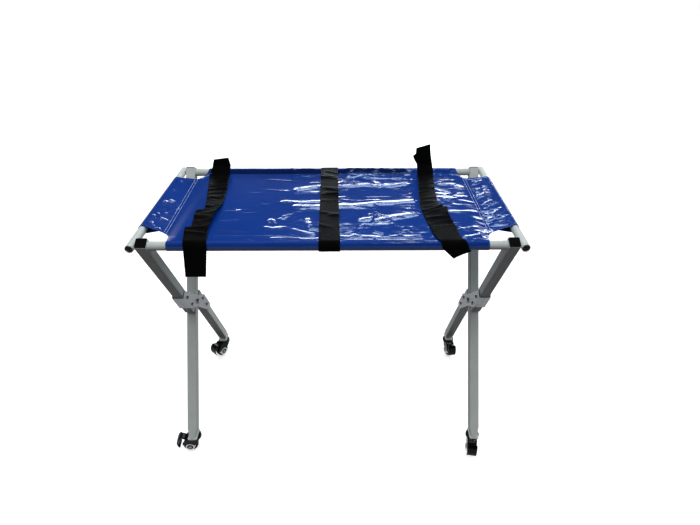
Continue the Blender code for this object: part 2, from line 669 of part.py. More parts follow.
def build_sheet(kit):
    """Panel with a sleeve round each rail and each spreader bar."""
    panel = plate_mesh((panel_outline(),), SHEET_THICKNESS * 0.9)
    sheet = kit.part("table_sheet", panel, "blue_sheet", kit.origin, at(z=RAIL_HEIGHT + SHEET_RISE))
    sleeve = sleeve_mesh(RAIL_RADIUS, RAIL_SEAM, SHEET_RISE, 2 * SLEEVE_HALF_LENGTH)
    kit.boolean(sheet, sleeve, kit.origin, at(0, -RAIL_Y, RAIL_HEIGHT) @ ALONG_X, "UNION")
    kit.boolean(sheet, sleeve, kit.origin, at(0, RAIL_Y, RAIL_HEIGHT) @ ABOUT_FACE @ ALONG_X, "UNION")
    low = SHEET_FRONT_CUT - RAIL_Y
    high = RAIL_Y - SHEET_REAR_CUT
    sleeve = sleeve_mesh(BAR_RADIUS, BAR_SEAM, RAIL_HEIGHT + SHEET_RISE - BAR_HEIGHT, high - low)
    for x, turn in ((-BAR_X, UPRIGHT), (BAR_X, ABOUT_FACE @ UPRIGHT)):
        kit.boolean(sheet, sleeve, kit.origin, at(x, (low + high) / 2, BAR_HEIGHT) @ turn, "UNION")


def strap_route(front_tail, rear_tail):
    """Side route of a loose strap: front tail, over the sleeve, along the panel, and up at the rear."""
    tip = SHEET_RISE + SHEET_THICKNESS / 2
    lean = math.atan2(tip, RAIL_SEAM) + math.acos(SLEEVE_OUTER / math.hypot(tip, RAIL_SEAM))
    low = tip + STRAP_RADIUS - SLEEVE_OUTER
    reach = RAIL_Y - (STRAP_RADIUS - low * math.sin(lean)) / math.cos(lean)
    top = RAIL_HEIGHT + STRAP_RADIUS
    side = -RAIL_Y - STRAP_RADIUS
    tail = [(side - STRAP_TAIL_LEAN * share, RAIL_HEIGHT - front_tail * share) for share in (1, 0.66, 0.33)]
    front = arc(-RAIL_Y, RAIL_HEIGHT, STRAP_RADIUS, 180, math.degrees(lean), 8)
    run = [(reach * (i / 6 - 1), RAIL_HEIGHT + low) for i in range(13)]
    rear = arc(RAIL_Y, RAIL_HEIGHT, STRAP_RADIUS, 180 - math.degrees(lean), 90, 3)
    bend_end = math.degrees(STRAP_TAIL_ANGLE) - 90
    bend = arc(RAIL_Y, top + STRAP_BEND_RADIUS, STRAP_BEND_RADIUS, -90, bend_end, 6)[1:]
    rise = Vector((math.cos(STRAP_TAIL_ANGLE), math.sin(STRAP_TAIL_ANGLE)))
    length = (top + rear_tail - bend[-1][1]) / rise.y
    end = [Vector(bend[-1]) + rise * (length * share) for share in (0.5, 1.0)]
    return [*tail, *front, *run, *rear, *bend, *end]


def ribbon_mesh(route, side, stations):
    """Webbing that follows a side route, its middle drifting along X between the stations."""
    bm = bmesh.new()
    left = []
    for y, z in route:
        middle = side * (LEG_SPACING / 2 - interpolate(stations, y / RAIL_Y))
        left.append(bm.verts.new((middle - STRAP_WIDTH / 2, y, z)))
    edges = [bm.edges.new(pair) for pair in zip(left, left[1:])]
    strip = bmesh.ops.extrude_edge_only(bm, edges=edges)["geom"]
    across = [item for item in strip if isinstance(item, bmesh.types.BMVert)]
    bmesh.ops.translate(bm, vec=(STRAP_WIDTH, 0, 0), verts=across)
    mesh = bpy.data.meshes.new("ribbon")
    bm.to_mesh(mesh)
    bm.free()

    def thicken(source):
        modifier = source.modifiers.new("thickness", "SOLIDIFY")
        modifier.thickness = STRAP_THICKNESS
        modifier.offset = 0.0
        modifier.use_even_offset = True

    return weld(evaluated_mesh(mesh, thicken))


def build_straps(kit):
    """Two loose straps with free tails and a middle strap looped tight round both rails."""
    loose = (("left_strap", -1, LEFT_STRAP_STATIONS, LEFT_STRAP_FRONT_TAIL, LEFT_STRAP_REAR_TAIL),
             ("right_strap", 1, RIGHT_STRAP_STATIONS, RIGHT_STRAP_FRONT_TAIL, RIGHT_STRAP_REAR_TAIL))
    for name, side, stations, front_tail, rear_tail in loose:
        mesh = ribbon_mesh(strap_route(front_tail, rear_tail), side, stations)
        kit.part(name, mesh, "black_webbing", kit.origin)
    loops = []
    for radius in (STRAP_RADIUS + STRAP_THICKNESS / 2, STRAP_RADIUS - STRAP_THICKNESS / 2):
        loops.append(arc(RAIL_Y, RAIL_HEIGHT, radius, -90, 90, 12)
                     + arc(-RAIL_Y, RAIL_HEIGHT, radius, 90, 270, 12))
    loop = plate_mesh(loops, STRAP_WIDTH)
    drift = Matrix.Identity(4)
    drift[0][1] = MIDDLE_STRAP_DRIFT / (2 * RAIL_Y)
    loop.transform(drift @ ALONG_X)
    kit.part("middle_strap", loop, "black_webbing", kit.origin, at(x=MIDDLE_STRAP_X))


def stem_mesh():
    """Threaded stem with its nut above the foot plate, bearing flange and riveted kingpin below."""
    plate_top = CASTER_HEIGHT + FOOT_PLATE_THICKNESS + CLEARANCE
    nut_top = plate_top + STEM_NUT_HEIGHT
    flange_top = CASTER_HEIGHT - CLEARANCE
    flange_base = flange_top - STEM_FLANGE_THICKNESS
    rivet_top = CROWN_BASE - CLEARANCE
    profile = ((0.0, nut_top + STEM_END_LENGTH), (STEM_RADIUS, nut_top + STEM_END_LENGTH),
               (STEM_RADIUS, nut_top), (STEM_NUT_RADIUS, nut_top), (STEM_NUT_RADIUS, plate_top),
               (STEM_RADIUS, plate_top), (STEM_RADIUS, flange_top), (STEM_FLANGE_RADIUS, flange_top),
               (STEM_FLANGE_RADIUS, flange_base), (KINGPIN_RADIUS, flange_base), (KINGPIN_RADIUS, rivet_top),
               (KINGPIN_HEAD_RADIUS, rivet_top), (KINGPIN_HEAD_RADIUS, rivet_top - KINGPIN_HEAD_HEIGHT),
               (0.0, rivet_top - KINGPIN_HEAD_HEIGHT))
    return turned_mesh(profile, SMALL_STEPS)


def build_fork(kit, name, swivel):
    """Fork: a domed crown that turns on the kingpin, with two tapered cheeks."""
    hole = KINGPIN_RADIUS + CLEARANCE
    dome = [(CROWN_RADIUS + radius, height) for radius, height in
            arc(-CROWN_EDGE, CROWN_TOP - CROWN_EDGE, CROWN_EDGE, 90, 0, 2)]
    profile = [(hole, CROWN_TOP), *dome, (CROWN_RADIUS, CROWN_BASE), (hole, CROWN_BASE)]
    crown = turned_mesh(profile, WHEEL_STEPS, ring=True)
    fork = kit.part(f"{name}_caster_fork", crown, "black_plastic", swivel)
    root = CROWN_BASE + CROWN_HEIGHT / 3
    rear = PEDAL_PIN_X - CHEEK_FRONT_RADIUS / 2
    circles = (circle(CHEEK_AXLE_BOSS, WHEEL_STEPS, CASTER_TRAIL, WHEEL_RADIUS)
               + circle(CHEEK_FRONT_RADIUS, SMALL_STEPS, -CHEEK_FRONT_REACH, root - CHEEK_FRONT_RADIUS)
               + circle(CHEEK_REAR_RADIUS, SMALL_STEPS, rear, root - CHEEK_REAR_RADIUS)
               + circle(CHEEK_HOOD_RADIUS, SMALL_STEPS, CHEEK_HOOD_X, CHEEK_HOOD_HEIGHT))
    hull = [circles[i] for i in convex_hull_2d(circles)]
    cheek = plate_mesh((hull,), CHEEK_THICKNESS)
    middle = FORK_INSIDE + CHEEK_THICKNESS / 2
    cheeks = copies_mesh(cheek, [at(y=y) @ UPRIGHT for y in (-middle, middle)])
    kit.boolean(fork, cheeks, swivel, operation="UNION")
    kit.drill(fork, AXLE_RADIUS + CLEARANCE, FORK_OUTSIDE * 3, swivel,
              [at(CASTER_TRAIL, 0, WHEEL_RADIUS) @ ALONG_Y])
    kit.drill(fork, PEDAL_PIN_RADIUS + CLEARANCE, FORK_OUTSIDE * 3, swivel,
              [at(PEDAL_PIN_X, 0, PEDAL_PIN_HEIGHT) @ ALONG_Y])


def build_pedal(kit, name, swivel):
    """Brake pedal: an arm between the cheeks, a wide curved tread, and the pin that it rocks on."""
    inside = 2 * (FORK_INSIDE - CLEARANCE)
    place = at(PEDAL_PIN_X, 0, PEDAL_PIN_HEIGHT) @ UPRIGHT
    arm = plate_mesh((band_outline(smooth_route(PEDAL_ARM_ROUTE, 2), PEDAL_THICKNESS - CLEARANCE),), inside)
    pedal = kit.part(f"{name}_brake_pedal", arm, "black_plastic", swivel, place)
    tread = plate_mesh((band_outline(smooth_route(PEDAL_TREAD_ROUTE, 2), PEDAL_THICKNESS),), PEDAL_WIDTH)
    kit.boolean(pedal, tread, swivel, place, "UNION")
    boss = plate_mesh((circle(PEDAL_BOSS_RADIUS, SMALL_STEPS),), inside - CLEARANCE)
    kit.boolean(pedal, boss, swivel, place, "UNION")
    pin = plate_mesh((circle(PEDAL_PIN_RADIUS, SMALL_STEPS),), 2 * FORK_OUTSIDE)
    kit.boolean(pedal, pin, swivel, place, "UNION")


def tyre_mesh():
    """Tyre ring with rounded shoulders, turned about Z."""
    half = TYRE_WIDTH / 2
    inner = WHEEL_RADIUS - TYRE_DEPTH
    shoulder = arc(-TYRE_SHOULDER, half - TYRE_SHOULDER, TYRE_SHOULDER, 90, 0, 2)
    top = [(WHEEL_RADIUS + r, z) for r, z in shoulder]
    low = [(r, -z) for r, z in reversed(top)]
    return turned_mesh([(inner, half), *top, *low, (inner, -half)], WHEEL_STEPS, ring=True)


def hub_mesh():
    """Hub with a boss, a thin web and a rim, turned about Z."""
    boss = TYRE_WIDTH / 2
    web = HUB_WEB_WIDTH / 2
    rim = HUB_RIM_WIDTH / 2
    step = HUB_RADIUS - HUB_RIM_DEPTH
    bore = AXLE_RADIUS + CLEARANCE
    top = [(bore, boss), (HUB_BOSS_RADIUS, boss), (step, web), (HUB_RADIUS, rim)]
    return turned_mesh(top + [(r, -z) for r, z in reversed(top)], WHEEL_STEPS, ring=True)


def axle_mesh():
    """Axle pin with a head at each end, turned about Z."""
    seat = FORK_OUTSIDE + CLEARANCE
    end = seat + AXLE_HEAD_HEIGHT
    top = [(0.0, end), (AXLE_HEAD_RADIUS, end), (AXLE_HEAD_RADIUS, seat), (AXLE_RADIUS, seat)]
    return turned_mesh(top + [(r, -z) for r, z in reversed(top)], SMALL_STEPS)


def build_casters(kit):
    """Four braked casters under the legs, each turned to its own heading."""
    for name, (side, foot_y) in CASTERS.items():
        foot = at(side * LEG_SPACING / 2, foot_y - math.copysign(CASTER_INSET, foot_y))
        heading = Matrix.Rotation(CASTER_HEADINGS[name], 4, "Z")
        swivel = kit.empty(f"{name}_swivel", kit.origin, foot @ heading)
        axle = at(CASTER_TRAIL, 0, WHEEL_RADIUS) @ ALONG_Y
        kit.part(f"{name}_caster_stem", stem_mesh(), "zinc_steel", kit.origin, foot)
        build_fork(kit, name, swivel)
        build_pedal(kit, name, swivel)
        kit.part(f"{name}_caster_axle", axle_mesh(), "zinc_steel", swivel, axle)
        kit.part(f"{name}_wheel_tyre", tyre_mesh(), "black_rubber", swivel, axle)
        kit.part(f"{name}_wheel_hub", hub_mesh(), "dark_hub", swivel, axle)


def centre_on_floor(kit):
    """Move the whole table so that its bounding box stands centred on the origin."""
    depsgraph = bpy.context.evaluated_depsgraph_get()
    corners = []
    for piece in kit.parts.objects:
        if piece.type == "MESH":
            ready = piece.evaluated_get(depsgraph)
            corners += [ready.matrix_world @ vertex.co for vertex in ready.data.vertices]
    low = Vector(map(min, zip(*corners)))
    high = Vector(map(max, zip(*corners)))
    kit.origin.location = (-(low.x + high.x) / 2, -(low.y + high.y) / 2, -low.z)
    print("table centre", [round(value, 5) for value in kit.origin.location])
    print("overall size", [round(value, 4) for value in high - low])


def build_table():
    """Build every piece of the table."""
    clear_scene()
    kit = Assembly()
    pivot = at(z=PIVOT_HEIGHT)
    front = kit.empty("front_frame_axis", kit.origin, pivot @ Matrix.Rotation(SPLIT_TILT, 4, "X"))
    rear = kit.empty("rear_frame_axis", kit.origin, pivot @ Matrix.Rotation(-TILT, 4, "X"))
    build_front_frame(kit, front)
    build_rear_frame(kit, rear)
    build_spreader_bars(kit)
    build_sheet(kit)
    build_straps(kit)
    build_casters(kit)
    centre_on_floor(kit)
    print("pivot height", round(PIVOT_HEIGHT, 5), "tilts", round(math.degrees(TILT), 3),
          round(math.degrees(SPLIT_TILT), 3), "feet y", round(FRONT_FOOT_Y, 5), round(REAR_FOOT_Y, 5))
    print("rail y", round(RAIL_Y, 5), "rail height", round(RAIL_HEIGHT, 5), "bar x", round(BAR_X, 5))


build_table()
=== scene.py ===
"""Dress the folding examination table: coated sheet, stitching, webbing straps, casters and finishes."""

import json
import logging
import math
from dataclasses import dataclass, field
from enum import Enum

import bmesh
import bpy
import numpy as np
from mathutils import Matrix, Vector


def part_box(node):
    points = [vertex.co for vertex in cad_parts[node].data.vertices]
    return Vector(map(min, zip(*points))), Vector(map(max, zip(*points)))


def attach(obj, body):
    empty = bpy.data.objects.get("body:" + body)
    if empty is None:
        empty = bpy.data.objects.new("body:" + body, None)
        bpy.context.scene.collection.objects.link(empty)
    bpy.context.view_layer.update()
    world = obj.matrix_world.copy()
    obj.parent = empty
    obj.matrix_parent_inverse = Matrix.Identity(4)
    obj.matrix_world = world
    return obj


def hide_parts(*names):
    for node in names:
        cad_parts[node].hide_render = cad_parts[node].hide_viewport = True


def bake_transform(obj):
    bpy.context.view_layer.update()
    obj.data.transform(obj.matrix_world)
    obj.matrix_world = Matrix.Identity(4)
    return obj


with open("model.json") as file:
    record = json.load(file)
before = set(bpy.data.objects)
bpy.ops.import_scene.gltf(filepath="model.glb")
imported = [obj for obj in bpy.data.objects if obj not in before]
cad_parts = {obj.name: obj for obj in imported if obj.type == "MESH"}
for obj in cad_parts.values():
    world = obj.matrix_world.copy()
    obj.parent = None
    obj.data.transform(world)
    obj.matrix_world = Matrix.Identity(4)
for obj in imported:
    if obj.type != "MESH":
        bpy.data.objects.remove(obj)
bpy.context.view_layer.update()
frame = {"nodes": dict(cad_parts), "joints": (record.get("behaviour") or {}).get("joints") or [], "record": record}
LOG = logging.getLogger("examination_table")

Tree = bpy.types.NodeTree
Node = bpy.types.Node
Socket = bpy.types.NodeSocket
Material = bpy.types.Material
Piece = bpy.types.Object
Pair = tuple[float, float]
Crease = tuple[float, float, np.ndarray]

WHITE = (1.0, 1.0, 1.0, 1.0)
WAVE = 0.314  # length of one wave of the wave texture at scale 1
STRAP_TURN = 0.0148  # radius of the webbing's middle round a rail's sleeve


class Side(Enum):
    """An end of the table, as a sign along X."""

    LEFT = -1
    RIGHT = 1


class Corner(Enum):
    """A caster's corner, named as the bodies are."""

    FRONT_LEFT = "front_left"
    FRONT_RIGHT = "front_right"
    REAR_LEFT = "rear_left"
    REAR_RIGHT = "rear_right"


class Unit(Enum):
    """A small shape that is repeated along a line or at points."""

    STITCH = "stitch"
    RIB = "rib"
    WASHER = "washer"


def linear(code: str) -> tuple[float, float, float, float]:
    """Turn an sRGB hex value into a linear colour.

    Args:
        code: Six hex digits.

    Returns:
        Red, green, blue and alpha.
    """
    values = [int(code[i:i + 2], 16) / 255 for i in (0, 2, 4)]
    return (*[v / 12.92 if v <= 0.04045 else ((v + 0.055) / 1.055) ** 2.4 for v in values], 1.0)


def per_mm(size: float) -> float:
    """Pattern scale, in repeats per metre, for a size in millimetres."""
    return 1000.0 / size


def add(tree: Tree, kind: str, inputs: dict | None = None, **settings) -> Node:
    """Add a node with its settings, constants and links.

    Args:
        tree: Tree that gets the node.
        kind: Node type.
        inputs: Value or output socket for each input, by name or index.
        **settings: Properties of the node.

    Returns:
        The node.
    """
    node = tree.nodes.new(kind)
    for key, value in settings.items():
        setattr(node, key, value)
    for key, value in (inputs or {}).items():
        if isinstance(value, Socket):
            tree.links.new(value, node.inputs[key])
        else:
            node.inputs[key].default_value = value
    return node


@dataclass(frozen=True)
class Finish:
    """A surface finish: two shades that its pattern mixes, and typical shader values."""

    name: str
    shades: tuple[str, str]
    roughness: float
    metallic: float = 0.0
    gloss: float = 0.5
    spread: float = 0.10

    def make(self) -> Material:
        """Build the material.

        Returns:
            A material whose colour, roughness and bump come from its nodes.
        """
        material = bpy.data.materials.new(self.name)
        material.use_nodes = True
        tree = material.node_tree
        shader = tree.nodes["Principled BSDF"]
        shader.inputs["Metallic"].default_value = self.metallic
        shader.inputs["Specular IOR Level"].default_value = self.gloss
        pattern, normal = self.dress(tree, add(tree, "ShaderNodeTexCoord").outputs["Object"])
        low, high = (linear(shade) for shade in self.shades)
        tint = add(tree, "ShaderNodeMix", {"Factor": pattern, "A": low, "B": high}, data_type="RGBA")
        rough = add(tree, "ShaderNodeMapRange", {"Value": pattern, "To Min": self.roughness - self.spread / 2,
                                                 "To Max": self.roughness + self.spread / 2})
        tree.links.new(tint.outputs["Result"], shader.inputs["Base Color"])
        tree.links.new(rough.outputs[0], shader.inputs["Roughness"])
        if normal:
            tree.links.new(normal, shader.inputs["Normal"])
        return material

    def dress(self, tree: Tree, place: Socket) -> tuple[Socket, Socket | None]:
        """Add the finish's own pattern and bump.

        Args:
            tree: Material tree.
            place: Object coordinates.

        Returns:
            Pattern from the first shade to the second, and the bent normal if there is one.
        """
        raise NotImplementedError


class Patch(Enum):
    """Texture of the patches on a hard skin."""

    CLOUD = "ShaderNodeTexNoise"
    SPANGLE = "ShaderNodeTexVoronoi"


@dataclass(frozen=True)
class Skin(Finish):
    """A hard skin: patches vary its shade and gloss, and a grain is its bump."""

    patch: Patch = Patch.CLOUD
    patch_mm: float = 22.0
    patch_detail: float = 3.0
    grain_mm: float = 0.9
    grain_detail: float = 2.0
    grain_strength: float = 0.10
    grain_depth: float = 0.0003

    def dress(self, tree: Tree, place: Socket) -> tuple[Socket, Socket]:
        """Add the patches and the grain.

        Args:
            tree: Material tree.
            place: Object coordinates.

        Returns:
            The patches, and the normal bent by the grain.
        """
        patch = add(tree, self.patch.value, {"Vector": place, "Scale": per_mm(self.patch_mm),
                                             "Detail": self.patch_detail})
        grain = add(tree, "ShaderNodeTexNoise", {"Vector": place, "Scale": per_mm(self.grain_mm),
                                                 "Detail": self.grain_detail})
        bump = add(tree, "ShaderNodeBump", {"Strength": self.grain_strength, "Distance": self.grain_depth,
                                            "Height": grain.outputs[0]})
        return patch.outputs[0], bump.outputs[0]


@dataclass(frozen=True)
class PowderCoat(Skin):
    """Polyester powder on steel tube: satin silver, clouded by uneven powder, with a coarsely drawn orange peel."""

    gloss: float = 0.10
    patch_mm: float = 45.0
    grain_mm: float = 1.6
    grain_detail: float = 1.0
    grain_strength: float = 0.06
    grain_depth: float = 0.0004


@dataclass(frozen=True)
class ZincPlate(Skin):
    """Zinc on pressed steel: cool grey metal, with a spangle that changes the gloss and a light press texture."""

    spread: float = 0.14
    patch: Patch = Patch.SPANGLE
    patch_mm: float = 3.0
    patch_detail: float = 0.0
    grain_mm: float = 11.0
    grain_strength: float = 0.20
    grain_depth: float = 0.0012


@dataclass(frozen=True)
class MouldedBlack(Skin):
    """Moulded nylon or rubber: near black, with a spark-eroded grain and duller handled patches."""

    gloss: float = 0.16


@dataclass(frozen=True)
class CoatedSheet(Finish):
    """PVC film on woven polyester: deep glossy blue with crinkles from folding, fine lengthwise pulls and painted
    shade in the fold along the rear sleeve.
    """

    gloss: float = 0.28
    spread: float = 0.04
    cloud_mm: float = 120.0
    warp_mm: float = 60.0
    crinkle_mm: float = 26.0
    worn_mm: float = 85.0
    pull_mm: float = 7.0

    # Axis, start, end and the light added there, at start and at end: painted shade that darkens the blue in the fold
    # along the rear sleeve.
    FOLD_SHADE = (("Y", 0.2290, 0.2322, 1.0, 0.28), ("Y", 0.2425, 0.2500, 0.0, 0.55), ("X", 0.245, 0.265, 0.0, 0.72))

    def dress(self, tree: Tree, place: Socket) -> tuple[Socket, Socket]:
        """Shade and bump of the film."""
        return self.shade(tree, place), self.crinkles(tree, place)

    def shade(self, tree: Tree, place: Socket) -> Socket:
        """Slow changes of blue, and painted shade in the fold along the rear sleeve.

        Args:
            tree: Material tree.
            place: Object coordinates.

        Returns:
            Shade from 0 to 1.
        """
        cloud = add(tree, "ShaderNodeTexNoise", {"Vector": place, "Scale": per_mm(self.cloud_mm), "Detail": 4.0})
        tone = add(tree, "ShaderNodeMapRange", {"Value": cloud.outputs[0], "From Min": 0.3, "From Max": 0.7,
                                                "To Min": 0.86, "To Max": 1.0})
        parts = add(tree, "ShaderNodeSeparateXYZ", {0: place}).outputs
        # Painted shade: the light falls below 1 in the fold along the rear sleeve and darkens the blue there.
        light = 0.0
        for axis, low, high, start, end in self.FOLD_SHADE:
            ramp = add(tree, "ShaderNodeMapRange", {"Value": parts[axis], "From Min": low, "From Max": high,
                                                    "To Min": start, "To Max": end})
            light = add(tree, "ShaderNodeMath", {0: ramp.outputs[0], 1: light}).outputs[0]
        light = add(tree, "ShaderNodeMath", {0: light, 1: 1.0}, operation="MINIMUM").outputs[0]
        return add(tree, "ShaderNodeMath", {0: tone.outputs[0], 1: light}, operation="MULTIPLY").outputs[0]

    def crinkles(self, tree: Tree, place: Socket) -> Socket:
        """Crinkles in worn places, mostly on the right, and lengthwise pulls.

        Args:
            tree: Material tree.
            place: Object coordinates.

        Returns:
            The bent normal.
        """
        warp = add(tree, "ShaderNodeTexNoise", {"Vector": place, "Scale": per_mm(self.warp_mm), "Detail": 2.0})
        shift = add(tree, "ShaderNodeVectorMath", {0: warp.outputs["Color"], "Scale": 0.03}, operation="SCALE")
        bent = add(tree, "ShaderNodeVectorMath", {0: place, 1: shift.outputs[0]})
        long = add(tree, "ShaderNodeMapping", {"Vector": bent.outputs[0], "Scale": (0.5, 1.0, 1.0)})
        facet = add(tree, "ShaderNodeTexVoronoi", {"Vector": long.outputs[0], "Scale": per_mm(self.crinkle_mm)},
                    feature="DISTANCE_TO_EDGE")
        patch = add(tree, "ShaderNodeTexNoise", {"Vector": place, "Scale": per_mm(self.worn_mm), "Detail": 2.0})
        worn = add(tree, "ShaderNodeMapRange", {"Value": patch.outputs[0], "From Min": 0.42, "From Max": 0.62})
        parts = add(tree, "ShaderNodeSeparateXYZ", {0: place}).outputs
        used = add(tree, "ShaderNodeMapRange", {"Value": parts["X"], "From Min": -0.20, "From Max": 0.06,
                                                "To Min": 0.12})
        amount = add(tree, "ShaderNodeMath", {0: worn.outputs[0], 1: used.outputs[0]}, operation="MULTIPLY")
        folded = add(tree, "ShaderNodeMath", {0: facet.outputs["Distance"], 1: amount.outputs[0]},
                     operation="MULTIPLY")
        first = add(tree, "ShaderNodeBump", {"Strength": 1.0, "Distance": 0.0032, "Height": folded.outputs[0]})
        along = add(tree, "ShaderNodeMapping", {"Vector": place, "Scale": (0.07, 1.0, 1.0)})
        pull = add(tree, "ShaderNodeTexNoise", {"Vector": along.outputs[0], "Scale": per_mm(self.pull_mm),
                                                "Detail": 2.0})
        second = add(tree, "ShaderNodeBump", {"Strength": 0.3, "Distance": 0.0006, "Height": pull.outputs[0],
                                              "Normal": first.outputs[0]})
        return second.outputs[0]


@dataclass(frozen=True)
class Webbing(Finish):
    """Woven polypropylene strap: black ribs along the length, a dull sheen and paler rubbed patches."""

    gloss: float = 0.008
    spread: float = 0.14
    rib_mm: float = 3.0
    pick_mm: float = 2.4
    wear_mm: float = 30.0

    def dress(self, tree: Tree, place: Socket) -> tuple[Socket, Socket]:
        """Add ribs and picks on the strap's own map, drawn coarser than the real yarn so that they show.

        Args:
            tree: Material tree.
            place: Object coordinates.

        Returns:
            The wear, and the normal bent by the weave.
        """
        weave = add(tree, "ShaderNodeUVMap", uv_map="Weave").outputs[0]
        rib, pick = [add(tree, "ShaderNodeTexWave", {"Vector": weave, "Scale": WAVE * per_mm(size)},
                         bands_direction=way) for size, way in ((self.rib_mm, "X"), (self.pick_mm, "Y"))]
        wear = add(tree, "ShaderNodeTexNoise", {"Vector": place, "Scale": per_mm(self.wear_mm), "Detail": 4.0})
        both = add(tree, "ShaderNodeMath", {0: rib.outputs["Fac"], 1: pick.outputs["Fac"]}, operation="MULTIPLY")
        bump = add(tree, "ShaderNodeBump", {"Strength": 0.35, "Distance": 0.0005, "Height": both.outputs[0]})
        return wear.outputs[0], bump.outputs[0]


@dataclass(frozen=True)
class Thread(Finish):
    """Bonded polyester thread: pale blue twisted yarn, slightly shiny."""

    twist_mm: float = 0.8

    def dress(self, tree: Tree, place: Socket) -> tuple[Socket, None]:
        """Twist of the yarn as a small change of shade."""
        twist = add(tree, "ShaderNodeTexWave", {"Vector": place, "Scale": WAVE * per_mm(self.twist_mm)},
                    bands_direction="DIAGONAL")
        return twist.outputs["Fac"], None


@dataclass
class Finishes:
    """Every material of the table, made once."""

    paint: Material = field(init=False)
    zinc: Material = field(init=False)
    plastic: Material = field(init=False)
    rubber: Material = field(init=False)
    hub: Material = field(init=False)
    ring: Material = field(init=False)
    sheet: Material = field(init=False)
    webbing: Material = field(init=False)
    thread: Material = field(init=False)

    def __post_init__(self) -> None:
        """Make the materials from their finishes."""
        self.paint = PowderCoat("silver_powder_coat", ("C0C6C2", "D6DCD8"), 0.40).make()
        self.zinc = ZincPlate("zinc_plated_steel", ("AEB3B6", "767B7F"), 0.42, 1.0).make()
        self.plastic = MouldedBlack("moulded_black_nylon", ("060606", "0C0C0D"), 0.16).make()
        self.rubber = MouldedBlack("moulded_black_rubber", ("0D0D0E", "161618"), 0.45, grain_mm=1.4).make()
        self.hub = MouldedBlack("moulded_dark_hub", ("1C1D1F", "2C2D30"), 0.30).make()
        self.ring = ZincPlate("bright_plated_ring", ("F4F5F5", "E2E4E4"), 0.20, 1.0).make()
        # The first shade is reached only where painted shade darkens the fold along the rear sleeve.
        self.sheet = CoatedSheet("coated_blue_pvc", ("010A2A", "0B3A91"), 0.10).make()
        self.webbing = Webbing("black_polypropylene_webbing", ("060607", "0D0D0E"), 0.42).make()
        self.thread = Thread("pale_blue_polyester_thread", ("BFCCEE", "E2E9FA"), 0.45).make()

    def dress_frame(self) -> None:
        """Give every CAD node the finish of its record slot."""
        by_slot = {"silver_paint": self.paint, "zinc_steel": self.zinc, "black_plastic": self.plastic,
                   "black_rubber": self.rubber, "dark_hub": self.hub, "blue_sheet": self.sheet,
                   "black_webbing": self.webbing}
        for part in frame["record"]["subparts"]:
            piece = frame["nodes"][part["node"]]
            piece.data.materials.clear()
            piece.data.materials.append(by_slot[part["material_slot"]])


@dataclass
class Places:
    """Where the rails and the end bars are, read from the frame."""

    centre: Vector = field(init=False)
    rail_y: float = field(init=False)
    rail_z: float = field(init=False)
    rail_radius: float = field(init=False)
    bar_x: float = field(init=False)
    bar_z: float = field(init=False)
    bar_radius: float = field(init=False)

    def __post_init__(self) -> None:
        """Measure the four tubes."""
        front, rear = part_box("front_rail"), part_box("rear_rail")
        left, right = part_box("left_spreader_bar"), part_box("right_spreader_bar")
        middle = [(box[0] + box[1]) / 2 for box in (front, rear, left, right)]
        self.centre = Vector(((middle[2].x + middle[3].x) / 2, (middle[0].y + middle[1].y) / 2, 0.0))
        self.rail_y = (middle[1].y - middle[0].y) / 2
        self.rail_z = middle[0].z
        self.rail_radius = (front[1].z - front[0].z) / 2
        self.bar_x = (middle[3].x - middle[2].x) / 2
        self.bar_z = middle[2].z
        self.bar_radius = (left[1].z - left[0].z) / 2


def new_piece(name: str, points: np.ndarray | list, faces: list, material: Material,
              smooth: bool = True) -> Piece:
    """Make a mesh piece at the origin.

    Args:
        name: Piece name.
        points: Vertex places in metres.
        faces: Vertex numbers of each face.
        material: Finish.
        smooth: Whether faces shade smoothly.

    Returns:
        The linked object.
    """
    mesh = bpy.data.meshes.new(name)
    mesh.from_pydata([tuple(map(float, p)) for p in points], [], faces)
    mesh.update()
    mesh.materials.append(material)
    mesh.polygons.foreach_set("use_smooth", [smooth] * len(mesh.polygons))
    piece = bpy.data.objects.new(name, mesh)
    bpy.context.scene.collection.objects.link(piece)
    return piece


def thicken(piece: Piece, thickness: float) -> None:
    """Give a sheet its thickness, half to each side.

    Args:
        piece: Open mesh.
        thickness: Whole thickness in metres.
    """
    wall = piece.modifiers.new("thickness", "SOLIDIFY")
    wall.thickness = thickness
    wall.offset = 0.0
    wall.use_even_offset = False


def plain_mesh(piece: Piece, name: str) -> Piece:
    """Replace a piece and its modifiers by one plain mesh.

    Args:
        piece: Object with modifiers.
        name: Name of the result.

    Returns:
        The new object; the old one is removed.
    """
    depsgraph = bpy.context.evaluated_depsgraph_get()
    mesh = bpy.data.meshes.new_from_object(piece.evaluated_get(depsgraph), depsgraph=depsgraph)
    piece.modifiers.clear()
    bpy.data.objects.remove(piece, do_unlink=True)
    result = bpy.data.objects.new(name, mesh)
    mesh.name = name
    bpy.context.scene.collection.objects.link(result)
    return result


